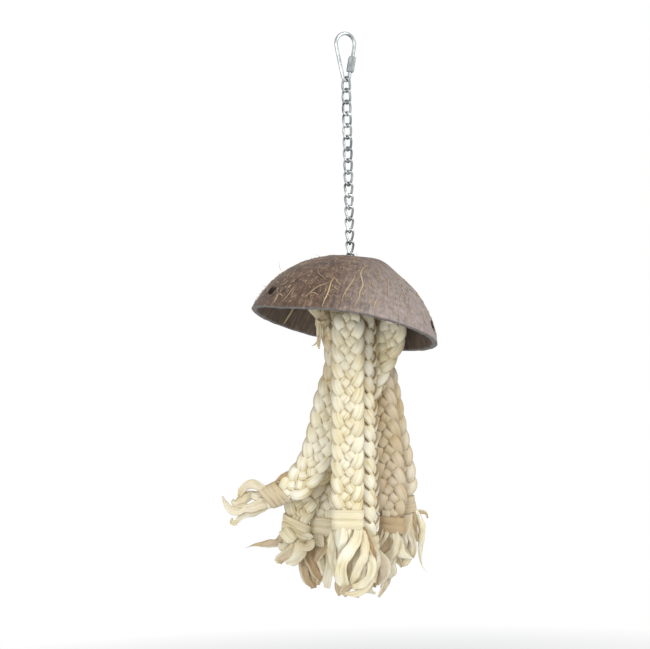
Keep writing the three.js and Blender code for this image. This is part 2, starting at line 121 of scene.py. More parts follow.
def add(tree, kind, inputs=None, stops=None, **settings):
    """Adds a node. inputs maps sockets to values or other nodes' outputs, and stops are a ramp's colours."""
    node = tree.nodes.new(kind)
    for key, value in settings.items():
        setattr(node, key, value)
    for key, value in (inputs or {}).items():
        if isinstance(value, bpy.types.NodeSocket):
            tree.links.new(value, node.inputs[key])
        else:
            node.inputs[key].default_value = value
    if stops:
        elements = node.color_ramp.elements
        for i, (at, shade) in enumerate(stops):
            element = elements[i] if i < 2 else elements.new(at)
            element.position = at
            element.color = linear(shade)
    return node


def new_material(name):
    """A material with its node tree and its main shader."""
    material = bpy.data.materials.new(name)
    material.use_nodes = True
    return material, material.node_tree, material.node_tree.nodes["Principled BSDF"]


def spot_noise(tree, size, **inputs):
    """Noise in space, with spots of about size, in millimetres."""
    spot = add(tree, "ShaderNodeTexCoord")
    sockets = {"Vector": spot.outputs["Object"], "Scale": 1 / (size * MM)}
    return add(tree, "ShaderNodeTexNoise", sockets | inputs).outputs["Fac"]


def strip_noise(tree, across, along):
    """Noise drawn out along a strip, with streaks of these two sizes, in millimetres."""
    uv = add(tree, "ShaderNodeUVMap", uv_map="strip")
    drawn = add(tree, "ShaderNodeMapping", {"Vector": uv.outputs["UV"], "Scale": (1 / across, 1 / along, 1)})
    sockets = {"Vector": drawn.outputs["Vector"], "Scale": 1, "Detail": STRIP_DETAIL}
    return add(tree, "ShaderNodeTexNoise", sockets).outputs["Fac"]


def mix_values(tree, share, first, second):
    """A value between two."""
    mixed = add(tree, "ShaderNodeMix", {"Factor": share, 2: first, 3: second}, data_type="FLOAT")
    return mixed.outputs["Result"]


def mix_colours(tree, share, first, second):
    """A colour between two."""
    return add(tree, "ShaderNodeMix", {"Factor": share, 6: first, 7: second}, data_type="RGBA").outputs[2]


def calculate(tree, operation, first, second):
    """Two values multiplied, or the greater of the two."""
    return add(tree, "ShaderNodeMath", {0: first, 1: second}, operation=operation).outputs["Value"]


def ramp(tree, value, stops):
    """A value turned into a colour."""
    return add(tree, "ShaderNodeValToRGB", {"Fac": value}, stops=stops).outputs["Color"]


def mark(tree, name):
    """A value that the mesh carries."""
    return add(tree, "ShaderNodeAttribute", attribute_name=name).outputs["Fac"]


def finish_surface(tree, shader, colour, height, depth, rough):
    """Gives the shader its colour, its relief, of a depth in millimetres, and its roughness."""
    relief = {"Height": height, "Strength": RELIEF_STRENGTH, "Distance": depth * MM}
    tree.links.new(colour, shader.inputs["Base Color"])
    tree.links.new(add(tree, "ShaderNodeBump", relief).outputs["Normal"], shader.inputs["Normal"])
    shader.inputs["Roughness"].default_value = rough


# %% [markdown]
# ## Dry maize husk
# The husk leaves are papery and full of fine ribs that run along them. Each strip carries a UV map in
# millimetres, so noise drawn out along the strip gives the ribs, and a slow noise gives the yellowed
# patches. One attribute paints shade, in a darker crease colour, at the edges of strands and strips.
# The tone attribute says how brown a leaf has dried; on the plaits that hang behind it is partly painted
# shade. The ribs could be modelled, but they are finer than the grids here, so they are a bump.

# %% Husk materials
RIB_SPACING = 0.7
RIB_LENGTH = 22
RIB_RELIEF = 0.5
PATCH_SIZE = 16
PATCH_SHARE = 0.4
PATCH_DETAIL = 2
FOLD_SHADE = 0.9
HUSK_ROUGH = 0.55
HUSK_GLOSS = 0.35
HUSK_STOPS = ((0.3, "#C6B07A"), (0.42, "#E2D6AE"), (0.53, "#EEE8D0"), (0.66, "#F8F5E8"))
TIE_STOPS = ((0.25, "#CBB98C"), (0.42, "#E4D8B2"), (0.58, "#EFE8CE"), (0.78, "#F7F3E4"))
TWINE_STOPS = ((0.25, "#8F7747"), (0.5, "#B79F6C"), (0.65, "#CDB98C"), (0.8, "#DCCBA0"))
FIBRE_STOPS = ((0.25, "#A58C66"), (0.5, "#C0A982"), (0.65, "#CEBB98"), (0.8, "#DACCAE"))
HUSK_BROWN = "#A5855A"
FIBRE_BROWN = "#98816B"


def husk_material(name, stops, crease, brown=HUSK_BROWN):
    """Dry husk leaf: pale, matt, ribbed along its length."""
    material, tree, shader = new_material(name)
    ribs = strip_noise(tree, RIB_SPACING, RIB_LENGTH)
    patches = spot_noise(tree, PATCH_SIZE, Detail=PATCH_DETAIL)
    fresh = ramp(tree, mix_values(tree, PATCH_SHARE, ribs, patches), stops)
    toned = mix_colours(tree, mark(tree, "tone"), fresh, linear(brown))
    # Painted shade: the crease colour is mixed in where the mesh marks the edges of strands and strips.
    edge = calculate(tree, "MULTIPLY", mark(tree, "painted_shade"), FOLD_SHADE)
    finish_surface(tree, shader, mix_colours(tree, edge, toned, linear(crease)), ribs, RIB_RELIEF, HUSK_ROUGH)
    shader.inputs["Specular IOR Level"].default_value = HUSK_GLOSS
    return material


# The third colour of each is the painted shade at edges and creases.
husk = husk_material("dry maize husk", HUSK_STOPS, "#86642F")
husk_tie = husk_material("wound husk strip", TIE_STOPS, "#A08658")
husk_twine = husk_material("husk twine", TWINE_STOPS, "#6B5530")
shell_fibre = husk_material("coconut fibre", FIBRE_STOPS, "#6B5530", FIBRE_BROWN)
print("four kinds of husk")

# %% [markdown]
# ## Plated steel
# The chain, the quick link and the ring are bright plated wire. A noise gives the plating worn, darker
# spots and makes the reflections duller there, as handling does. The tint of the shader's edge reflections
# is a darker grey, so a wire stands out against a white wall. One even grey would be simpler, but it looks
# like new chrome.

# %% Steel materials
SCUFF_SIZE = 7
SCUFF_DETAIL = 2
SCUFF_ROUGH = 0.42
BRIGHT_ROUGH = 0.2
CHAIN_STOPS = ((0.32, "#6C7174"), (0.45, "#959B9C"), (0.56, "#AFB5B5"), (0.7, "#CDD1D1"))
LINK_STOPS = ((0.32, "#777C7E"), (0.45, "#A2A8A9"), (0.56, "#BFC5C5"), (0.7, "#DADDDD"))
STEEL_EDGE = "#565B5A"


def steel_material(name, stops):
    """Bright plated steel, a little scuffed."""
    material, tree, shader = new_material(name)
    scuffs = spot_noise(tree, SCUFF_SIZE, Detail=SCUFF_DETAIL)
    dull = add(tree, "ShaderNodeMapRange", {"Value": scuffs, 3: SCUFF_ROUGH, 4: BRIGHT_ROUGH})
    tree.links.new(ramp(tree, scuffs, stops), shader.inputs["Base Color"])
    tree.links.new(dull.outputs["Result"], shader.inputs["Roughness"])
    shader.inputs["Metallic"].default_value = 1
    shader.inputs["Specular Tint"].default_value = linear(STEEL_EDGE)
    return material


steel = steel_material("plated steel wire", CHAIN_STOPS)
link_steel = steel_material("plated quick link", LINK_STOPS)
print("two steels")

# %% [markdown]
# ## Coconut shell
# The outside is scraped, so brown stone-hard shell shows grey scratches and tan fibres that run from the
# crown to the rim. On the side that faces the key lamp, a pale grey broken up by the grain is painted in:
# partly paler scratches, partly painted sheen. The inside is dark and drier. The UV map runs round the
# shell and down it, in millimetres, so the streaks follow the shape. The sawn rim is greyer than both,
# the walls of the holes darker still. A picture could be wrapped round it, but noise stays sharp from near
# by.

# %% Coconut materials
STREAK_WIDTH = 1.2
STREAK_LENGTH = 14
MOTTLE_SIZE = 3.4
MOTTLE_DETAIL = 8
MOTTLE_ROUGH = 0.72
# A pale grey painted onto the lit side of the shell: partly paler scratches, partly painted sheen.
SHEEN_AND_SCRATCH_GREY = "#B3A7A2"
SHEEN_GRAIN = (0.3, 0.7)
SHEEN_SHARE = (0.4, 1.5)


def coconut_material(name, stops, rough, depth, streaky, sheen_and_scratches=0):
    """Hard shell with streaks from crown to rim over fine mottling."""
    material, tree, shader = new_material(name)
    streaks = strip_noise(tree, STREAK_WIDTH, STREAK_LENGTH)
    mottle = spot_noise(tree, MOTTLE_SIZE, Detail=MOTTLE_DETAIL, Roughness=MOTTLE_ROUGH)
    grain = mix_values(tree, streaky, mottle, streaks)
    colour = ramp(tree, grain, stops)
    # Painted sheen: the pale grey is mixed in on the side that faces the key lamp, broken up by the grain.
    if sheen_and_scratches:
        limits = dict(enumerate(SHEEN_GRAIN + SHEEN_SHARE, 1))
        broken = add(tree, "ShaderNodeMapRange", {"Value": grain} | limits).outputs["Result"]
        side = calculate(tree, "MULTIPLY", mark(tree, "tone"), sheen_and_scratches)
        colour = mix_colours(tree, calculate(tree, "MULTIPLY", side, broken), colour, linear(SHEEN_AND_SCRATCH_GREY))
    finish_surface(tree, shader, colour, grain, depth, rough)
    return material


OUTSIDE_STOPS = ((0.36, "#33261E"), (0.45, "#523E31"), (0.54, "#6E5747"), (0.65, "#A0866A"))
INSIDE_STOPS = ((0.3, "#443A34"), (0.48, "#62554C"), (0.6, "#776656"), (0.72, "#907B62"))
RIM_STOPS = ((0.3, "#4C4744"), (0.48, "#6F6A68"), (0.62, "#86807C"), (0.75, "#9A938C"))
# The walls of the drilled holes are much darker than the sawn rim.
DRILLED_STOPS = ((0.3, "#1E1815"), (0.48, "#2B221D"), (0.62, "#382D26"), (0.75, "#453930"))
shell_outside = coconut_material(
    "scraped coconut shell", OUTSIDE_STOPS, rough=0.6, depth=1, streaky=0.3, sheen_and_scratches=0.6
)
shell_inside = coconut_material("dry inner shell", INSIDE_STOPS, rough=0.8, depth=0.6, streaky=0.6)
shell_cut = coconut_material("sawn shell edge", RIM_STOPS, rough=0.7, depth=0.4, streaky=0.3)
shell_drilled = coconut_material("drilled shell", DRILLED_STOPS, rough=0.8, depth=0.4, streaky=0.3)
print("four coconut finishes")

# %% [markdown]
# ## Rolling a grid into a tube
# Wires, strands, strips and the shell itself are all long surfaces with a section that closes on itself.
# Each starts as one flat grid. Its points are then carried to their place, the two long edges are merged
# into a seam, and the ends are filled. The grid's own coordinates become the UV map, in millimetres. A
# bevelled curve could draw the wires, but its section keeps one shape, and strands and strips have ridges
# and folds that change along them.

# %% Skin and sweep
SEAM = 0.9999
MERGE_GAP = 1e-7


def skin(bm, around, along, place, size, painted_shade=None, loop=False, part=0, tone=0):
    """Carries a grid of around by along faces to place(u, v), and closes it."""
    uv = bm.loops.layers.uv.get("strip") or bm.loops.layers.uv.new("strip")
    # Painted shade at edges and creases goes in one layer; the tone layer holds how brown husk has dried, how
    # grey fibres are, partly painted shade on the plaits behind, and the shell's painted sheen.
    painted_shade_layer = bm.verts.layers.float.get("painted_shade") or bm.verts.layers.float.new("painted_shade")
    brown = bm.verts.layers.float.get("tone") or bm.verts.layers.float.new("tone")
    grid = bmesh.ops.create_grid(bm, x_segments=around, y_segments=along, size=0.5)
    faces = list({face for vert in grid["verts"] for face in vert.link_faces})
    for face in faces:
        face.smooth = True
        face.material_index = part(face.calc_center_median().y + 0.5) if callable(part) else part
        for corner in face.loops:
            spot = corner.vert.co
            corner[uv].uv = ((spot.x + 0.5) * size[0], (spot.y + 0.5) * size[1])
    for vert in grid["verts"]:
        u = vert.co.x + 0.5
        v = vert.co.y + 0.5
        u = u if u < SEAM else 0
        vert[painted_shade_layer] = painted_shade(u, v) if painted_shade else 0
        vert[brown] = tone(u, v) if callable(tone) else tone
        vert.co = place(u, v) * MM
    bmesh.ops.remove_doubles(bm, verts=grid["verts"], dist=MERGE_GAP)
    ends = list({edge for face in faces if face.is_valid for edge in face.edges if edge.is_boundary})
    if ends and not loop:
        bmesh.ops.holes_fill(bm, edges=ends, sides=0)


def sweep(bm, line, normal, section, around, along, size, painted_shade=None, loop=False, tone=0):
    """Draws section(u, v) along line(v). normal(v) says which way the section's second axis leans."""
    rings = []
    for i in range(along + 1):
        v = i / along
        half = 0.5 / along
        before = line((v - half) % 1) if loop else line(max(v - half, 0))
        after = line((v + half) % 1) if loop else line(min(v + half, 1))
        run = (after - before).normalized()
        side = run.cross(normal(v)).normalized()
        rings.append((line(v), side, side.cross(run)))

    def place(u, v):
        i = round(v * along)
        centre, side, up = rings[0 if loop and i == along else i]
        a, b = section(u, v)
        return centre + side * a + up * b

    skin(bm, around, along, place, size, painted_shade, loop, tone=tone)


def round_section(diameter):
    """The section of a plain wire."""
    radius = diameter / 2
    return lambda u, v: (math.cos(2 * math.pi * u) * radius, math.sin(2 * math.pi * u) * radius)


def piece(name, bm, materials, body, nodes):
    """Makes the object from a bmesh, rides it on its body and lets it stand for its solids."""
    bmesh.ops.recalc_face_normals(bm, faces=bm.faces)
    mesh = bpy.data.meshes.new(name)
    bm.to_mesh(mesh)
    bm.free()
    for material in materials:
        mesh.materials.append(material)
    obj = bpy.data.objects.new(name, mesh)
    bpy.context.scene.collection.objects.link(obj)
    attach(obj, body)
    if nodes:
        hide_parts(*nodes)
    return obj


# %% [markdown]
# ## The routes of the plaits
# Each plait hangs from the carrier ring. Its route is a list of points, counted from the bottom of the
# ring, and a smooth curve goes through them. The rest is said of each plait only where it isn't as
# usual. face turns its flat side from the viewer to the right, in degrees. fan is its length above the
# neck tie, open the length in which it then grows to its full width, end its width at the end tie, and
# tie and turns are the length and the turns of that tie. slot is its place on the ring. phase shifts its
# rhythm, and back mirrors it. tilt turns the strands outward at its edges, and swell widens them there.
# tone says how brown it has dried; on the right plaits, which hang behind, it is partly painted shade.
# aged says how much browner it is near its neck, tie_tone how much browner its ties are, and slant sets
# them askew. They could be hung by a simulation, but then they wouldn't lie as in the photograph.

# %% Plait table
PLAIT_WIDTH = 21
PLAIT_THICK = 7.5
NECK_WIDTH = 8.8
FAN_FLARE = 0.6
NECK_TIE = 6.2
END_TAPER = 8
RING_WIRE = 2.2
USUAL = {
    "face": 0, "fan": 3, "open": 16, "tie": 10.5, "turns": 2, "back": False, "tilt": 14, "swell": 0.12,
    "aged": 0, "slant": 0,
}
PLAITS = {
    "left": {
        "route": [
            (-22.5, -8, -4), (-20, -8.5, -10.5), (-17.2, -9, -20.5), (-13, -9.5, -33), (-10.6, -9.5, -48),
            (-14.6, -9.5, -67), (-19.8, -9.5, -88), (-24, -9.5, -101.5), (-29.2, -9.5, -111.5),
            (-36, -9.5, -118.9), (-44.2, -9.5, -123.6), (-57.5, -9.5, -128.4),
        ],
        "fan": 12, "open": 50, "end": 13.5, "tie": 12.4, "turns": 4, "slot": -3, "phase": 0.1,
        "tone": -0.04, "aged": 0.24, "slant": -0.35, "tie_tone": 0.5,
    },
    "front": {
        "route": [
            (0, -10.5, -5), (-0.8, -13.4, -9), (-1.7, -16.3, -14), (-2.4, -18.2, -21), (-3, -19.3, -33),
            (-4, -20.2, -68), (-5, -20.5, -108), (-5.5, -20.5, -134), (-5.9, -20.5, -148),
        ],
        "fan": 2, "open": 8, "end": 18.2, "tie": 12.6, "slot": 0, "phase": 0.35, "tone": 0, "tie_tone": 0,
    },
    "right_front": {
        "route": [
            (8.6, -7.6, -5), (9.8, -7.4, -11), (10.2, -6.3, -20), (9.6, -5.7, -32), (9.2, -5.7, -48),
            (9.2, -5.7, -78), (9, -5.7, -118), (8.8, -5.7, -148), (9, -5.7, -164),
        ],
        "face": 75, "end": 12, "slot": 3, "phase": 0.6, "tone": 0.04, "tilt": 66, "swell": 0.5,
        "aged": 0.05, "tie_tone": 0.1,
    },
    # Its tone is partly browner husk and partly painted shade, as it hangs behind the others.
    "right": {
        "route": [
            (14.9, 12.6, -5), (16.5, 15.4, -12), (16.4, 17, -22), (14.8, 17.2, -36), (15.8, 17.2, -56),
            (18.8, 17.2, -84), (21.2, 17.2, -110), (22.6, 17.2, -132), (22.6, 17.2, -153.6),
        ],
        "end": 14, "slot": 2, "phase": 0.2, "back": True, "tone": 0.5, "slant": 0.12, "tie_tone": 0.24,
    },
    # Its tone is partly browner husk and partly painted shade, as it hangs behind the others.
    "right_rear": {
        "route": [
            (2.6, 14.2, -5), (4.4, 19.5, -11), (7.2, 24.8, -19), (11.4, 28.2, -30), (15.6, 29, -42),
            (19.4, 29, -60), (24.2, 29, -90), (28.4, 29, -114), (31.4, 29, -142),
        ],
        "open": 18, "end": 13, "slot": 1, "phase": 0.8, "tone": 0.3, "tie_tone": 0.2,
    },
    "left_rear": {
        "route": [
            (16.8, 2.1, -5), (21, 4.6, -11.5), (24.8, 7.6, -19), (24, 9, -29), (15.8, 9.2, -45),
            (4.6, 9.2, -66), (-7.6, 9.2, -86), (-19.4, 9.2, -105), (-29, 9.2, -120), (-36, 9.2, -137),
            (-39.4, 9.2, -153.5),
        ],
        "end": 16.5, "slot": 4, "phase": 0.5, "tone": 0.02, "slant": 0.3, "tie_tone": 0.06,
    },
    "rear": {
        "route": [
            (-9.4, 8.6, -5), (-10, 12.4, -11.5), (-9.4, 15.8, -20), (-8.2, 17.2, -31), (-8, 17.4, -44),
            (-9.4, 17.4, -58), (-13, 17.4, -80), (-17, 17.4, -108), (-20.2, 17.4, -132),
            (-22.7, 17.4, -153.5),
        ],
        "open": 40, "end": 14, "slot": -2, "phase": 0.7, "back": True, "tone": 0, "tie_tone": 0.15,
    },
}
print(f"{len(PLAITS)} plaits")


# %% Route helper
def ease(t):
    """A smooth step from 0 to 1."""
    t = min(max(t, 0), 1)
    return t * t * (3 - 2 * t)


class Route:
    """A smooth line through points, known by the distance along it."""

    STEPS = 24
    PROBE = 0.4

    def __init__(self, points, face):
        points = [Vector(p) for p in points]
        ends = [points[0] * 2 - points[1]] + points + [points[-1] * 2 - points[-2]]
        self.points = [points[0]]
        for a, b, c, d in zip(ends, ends[1:], ends[2:], ends[3:]):
            self.points += self.stretch(a, b, c, d)
        self.run = [0]
        for p, q in zip(self.points, self.points[1:]):
            self.run.append(self.run[-1] + (q - p).length)
        self.long = self.run[-1]
        self.facing = Vector((math.sin(math.radians(face)), -math.cos(math.radians(face)), 0))

    def stretch(self, a, b, c, d):
        """Points of the curve from b to c, with the roots of the chords as its clock."""
        t0, t1, t2 = [max((q - p).length ** 0.5, 1e-4) for p, q in ((a, b), (b, c), (c, d))]
        start = ((b - a) / t0 - (c - a) / (t0 + t1) + (c - b) / t1) * t1
        stop = ((c - b) / t1 - (d - b) / (t1 + t2) + (d - c) / t2) * t1
        found = []
        for i in range(1, self.STEPS + 1):
            t = i / self.STEPS
            bend = b + start * t + (c * 3 - b * 3 - start * 2 - stop) * t**2
            found.append(bend + (b * 2 - c * 2 + start + stop) * t**3)
        return found

    def at(self, s):
        """The point at a distance s. Past either end it goes straight on."""
        s_in = min(max(s, 0), self.long - 1e-6)
        low = 0
        high = len(self.run) - 1
        while high - low > 1:
            mid = (low + high) // 2
            low, high = (mid, high) if self.run[mid] <= s_in else (low, mid)
        along = (self.points[high] - self.points[low]).normalized()
        return self.points[low] + along * (s - self.run[low])

    def frame(self, s):
        """Point, direction along, direction across and direction to the front."""
        along = (self.at(s + self.PROBE) - self.at(s - self.PROBE)).normalized()
        across = self.facing.cross(along).normalized()
        return self.at(s), along, across, along.cross(across)

    def place(self, s, u, v):
        """A point u across and v in front of the line."""
        at, _, across, front = self.frame(s)
        return at + across * u + front * v


def walk(points):
    """A line through close points, as a function of the share of its length."""
    route = Route(points, 0)
    return (lambda v: route.at(v * route.long)), route.long


ring_low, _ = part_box("carrier_ring")
ring_bottom = Vector((0, 0, ring_low[2] / MM + RING_WIRE / 2))
for plait in PLAITS.values():
    for key, value in USUAL.items():
        plait.setdefault(key, value)
    plait["line"] = Route([Vector(p) + ring_bottom for p in plait["route"]], plait["face"])
print(", ".join(f"{name} {plait['line'].long:.0f} mm" for name, plait in PLAITS.items()))

# %% [markdown]
# ## Plaiting five strands
# In a flat plait of five, each strand swings from edge to edge and goes over one strand and under the
# next. A strand's swing is a zigzag that is cut off at both edges, so it runs along an edge for a while
# before it turns back. Its height is a wave whose crests and hollows lie where strands cross. The strands
# are the same zigzag, a fifth of a swing apart. A strand is a rolled leaf, flat where it crosses others
# and puffy where it turns, with ridges that wander along it. Each ridge row gives a height, a count round
# the strand, a drift and a shift. A ribbon with a relief would do from the front, but real strands also
# show at the edges and from behind.

# %% Plaits
STRANDS = 5
SWING_LENGTH = 51
SWING_REACH = 1.4
SWING_ROUND = 6
STRAND_WIDTH = 7.2
STRAND_THICK = 3
STRAND_SIDES = 22
STRAND_STEP = 1.2
GATHERED_WIDTH = 0.55
GATHERED_DEPTH = 0.75
EDGE_PUFF = 2.6
EDGE_SHARP = 8
LEAN_SHARP = 6
SECTION_ROUND = 0.85
RIDGES = ((0.42, 5, 2.2, 1), (0.25, 9, -3, 2))
RIDGE_WIDE = 0.03
RIDGE_HIGH = 0.13
WANDER_LENGTH = 14
UNEVEN = 0.14
UNEVEN_LENGTH = 9
FOLD_SHARP = 7
TONE_SPREAD = 0.12
TONE_PATCH = 0.2
TONE_LENGTH = 12
AGED_END = 78
AGED_FADE = 18
PLAIT_SEED = 11.3
STRAND_SEED = 3.7
CROSSINGS = (
    (-0.1, -1), (0.1, 1), (0.2, -1), (0.3, 1), (0.4, -1),
    (0.6, 1), (0.7, -1), (0.8, 1), (0.9, -1), (1.1, 1),
)


def width_at(plait, s):
    """Width of the plait: gathered at its neck, full below it, drawn in at its end tie."""
    neck_end = plait["fan"] + NECK_TIE
    if s < plait["fan"]:
        return NECK_WIDTH + (plait["fan"] - s) * FAN_FLARE
    opened = NECK_WIDTH + (PLAIT_WIDTH - NECK_WIDTH) * ease((s - neck_end) / plait["open"])
    end_start = plait["line"].long - plait["tie"]
    return opened + (plait["end"] - opened) * ease((s - end_start + END_TAPER) / END_TAPER)


def swing(t):
    """Where a strand is between the left edge, -1, and the right, 1."""
    far = SWING_REACH * (1 - 4 * abs(t % 1 - 0.5))
    return far / (1 + abs(far) ** SWING_ROUND) ** (1 / SWING_ROUND)


def height(t):
    """How far a strand stands in front, 1, or behind, -1."""
    t = t % 1
    for (a, start), (b, stop) in zip(CROSSINGS, CROSSINGS[1:]):
        if a <= t < b:
            return start + (stop - start) * ease((t - a) / (b - a))
    return 0


def strand(bm, plait, number, seed):
    """One strand of a plait, from its fanned top to the bottom of its end tie."""
    route = plait["line"]
    side = -1 if plait["back"] else 1
    own = plait["tone"] + TONE_SPREAD * noise.noise(Vector((seed, 1.5, 0.5)))

    def clock(s):
        return s / SWING_LENGTH + number / STRANDS + plait["phase"]

    def squeeze(s, least):
        return least + (1 - least) * width_at(plait, s) / PLAIT_WIDTH

    def line(v):
        s = v * route.long
        spread = (width_at(plait, s) - STRAND_WIDTH * squeeze(s, GATHERED_WIDTH)) / 2
        deep = (PLAIT_THICK - STRAND_THICK) / 2 * squeeze(s, GATHERED_DEPTH)
        return route.place(s, spread * swing(clock(s)), deep * side * height(clock(s)))

    def normal(v):
        s = v * route.long
        _, _, across, front = route.frame(s)
        far = swing(clock(s))
        lean = math.copysign(math.radians(plait["tilt"]) * abs(far) ** LEAN_SHARP, far)
        return front * math.cos(lean) + across * math.sin(lean)

    def section(u, v):
        a = 2 * math.pi * u
        s = v * route.long
        turning = abs(swing(clock(s))) ** EDGE_SHARP
        wide = STRAND_WIDTH * squeeze(s, GATHERED_WIDTH) * (1 + plait["swell"] * turning)
        thick = STRAND_THICK + EDGE_PUFF * turning * width_at(plait, s) / PLAIT_WIDTH
        wander = noise.noise(Vector((s / WANDER_LENGTH, seed, 0)))
        ridge = 0
        for high, count, drift, shift in RIDGES:
            ridge += high * math.cos(count * a + drift * wander + shift * seed)
        puff = 1 + UNEVEN * noise.noise(Vector((s / UNEVEN_LENGTH, seed + 7, 0)))
        x = math.copysign(abs(math.cos(a)) ** SECTION_ROUND, math.cos(a)) * wide / 2
        y = math.copysign(abs(math.sin(a)) ** SECTION_ROUND, math.sin(a)) * thick / 2 * puff
        return x * (1 + RIDGE_WIDE * ridge), y + RIDGE_HIGH * ridge * math.sin(a)

    # Painted shade along the edges of the strand, where it rolls under its neighbours.
    def painted_shade(u, v):
        return abs(math.cos(2 * math.pi * u)) ** FOLD_SHARP

    def tone(u, v):
        s = v * route.long
        patch = TONE_PATCH * max(noise.noise(Vector((s / TONE_LENGTH, seed, 5))), 0)
        return own + patch + plait["aged"] * (1 - ease((s - AGED_END + AGED_FADE) / AGED_FADE))

    steps = round(route.long / STRAND_STEP)
    sweep(bm, line, normal, section, STRAND_SIDES, steps, (2 * STRAND_WIDTH, route.long), painted_shade, tone=tone)


for order, (name, plait) in enumerate(PLAITS.items()):
    bm = bmesh.new()
    for number in range(STRANDS):
        strand(bm, plait, number, PLAIT_SEED * order + STRAND_SEED * number)
    piece(f"plait_{name}", bm, [husk], f"braid_{name}", [f"braid_{name}"])

# %% [markdown]
# ## Bindings
# A husk strip is wound round the neck and the lower end of each plait. It is one band that goes round on
# the plait's own oval and steps down at the back. Each turn lies over the edge of the one before, like a
# shingle, and the two ends are tucked in at the back. Plain rings would be simpler, but a winding shows
# its laps.

# %% Wound strips
BAND_THICK = 0.7
BAND_LAP = 0.7
BAND_OFF = 0.75
BAND_SINK = 0.4
BAND_LEAN = 0.16
BAND_WANDER = 0.5
BAND_STEP_DOWN = 0.4
BAND_SIDES = 26
BAND_STEPS = 40
BAND_ROUND = 45
TUCK_LEAST = 0.35
TUCK_RATE = 14
OVAL_SHARP = 2.6
NECK_TURNS = 2
NECK_SEED = 0.3
END_SEED = 0.8
BAND_OUTWARD = 1.2
BAND_WAVES = 3
BAND_RIDGES = ((0.1, 5, 1, 4), (0.07, 9, -1, 0))
# Painted shade at the band's edges and in its creases:
BAND_EDGE_SHADE = 0.6
BAND_EDGE_SHARP = 14
BAND_CREASE_SHADE = 0.3
BAND_CREASES = 4
BAND_CREASE_SHARP = 6
BAND_CREASE_DRIFT = 3


def oval_point(width, thick, angle):
    """A point of a flat oval with round ends, at an angle round it."""
    radius = thick / 2
    half = width / 2 - radius
    x = radius * math.cos(angle) + half * math.tanh(OVAL_SHARP * math.cos(angle)) / math.tanh(OVAL_SHARP)
    return x, radius * math.sin(angle)


def binding(bm, plait, start, length, turns, seed):
    """One band wound round the plait from start over length."""
    route = plait["line"]
    band = (length + (turns - 1) * BAND_LAP) / turns

    def spot(v, out):
        step = sum(ease((turns * v - turn) / BAND_STEP_DOWN + 0.5) for turn in range(1, turns))
        s = start + band / 2 + (band - BAND_LAP) * step
        angle = 2 * math.pi * turns * v - math.pi / 2
        wave = BAND_WANDER * noise.noise(Vector((turns * v * BAND_WAVES, seed, 1)))
        width = width_at(plait, s) + 2 * BAND_OFF
        x, y = oval_point(width, PLAIT_THICK - BAND_SINK + 2 * BAND_OFF, angle)
        return route.place(s + wave + plait["slant"] * x, x * out, y * out)

    def line(v):
        return spot(v, 1)

    def normal(v):
        return spot(v, BAND_OUTWARD) - spot(v, 1)

    def section(u, v):
        a = 2 * math.pi * u
        tuck = TUCK_LEAST + (1 - TUCK_LEAST) * min(1, TUCK_RATE * v, TUCK_RATE * (1 - v))
        x = band / 2 * math.cos(a)
        ridge = sum(high * math.cos(n * x + k * seed + drift * v) for high, n, k, drift in BAND_RIDGES)
        return x * tuck, BAND_THICK / 2 * math.sin(a) * tuck + ridge + BAND_LEAN * math.cos(a)

    # Painted shade along both edges of the band and in its creases.
    def painted_shade(u, v):
        a = 2 * math.pi * u
        edge = BAND_EDGE_SHADE * abs(math.cos(a)) ** BAND_EDGE_SHARP
        crease = max(math.cos(BAND_CREASES * a + seed + BAND_CREASE_DRIFT * v), 0)
        return edge + BAND_CREASE_SHADE * crease**BAND_CREASE_SHARP

    tone = plait["tone"] + plait["tie_tone"]
    size = (2 * band, BAND_ROUND * turns)
    sweep(bm, line, normal, section, BAND_SIDES, turns * BAND_STEPS, size, painted_shade, tone=tone)


for order, (name, plait) in enumerate(PLAITS.items()):
    end_start = plait["line"].long - plait["tie"]
    bm = bmesh.new()
    binding(bm, plait, plait["fan"], NECK_TIE, NECK_TURNS, order + NECK_SEED)
    plait["neck"] = piece(
        f"neck_binding_{name}", bm, [husk_tie], f"braid_{name}", [f"neck_tie_{name}"]
    )
    bm = bmesh.new()
    binding(bm, plait, end_start, plait["tie"], plait["turns"], order + END_SEED)
    plait["foot"] = piece(
        f"end_binding_{name}", bm, [husk_tie], f"braid_{name}", [f"end_tie_{name}"]
    )
print("bindings wound")

# %% [markdown]
# ## Loose husk ends
# Below its end tie the leaf is left loose, and it dries into strips that curl. Each strip was traced on
# the photograph: its width, how much of that is left at its tip, its thickness, how brown it is, and the
# pixels it goes through, each with its distance in front of the plait, in millimetres. A strip is folded
# along a line, has fine ribs, crinkles and a paler edge, and is cut askew at its tip. Those that only show
# from behind are guessed. The left neck tie also has loose tails. Hair could be grown there, but these
# strips are few and wide, and each has its own shape.

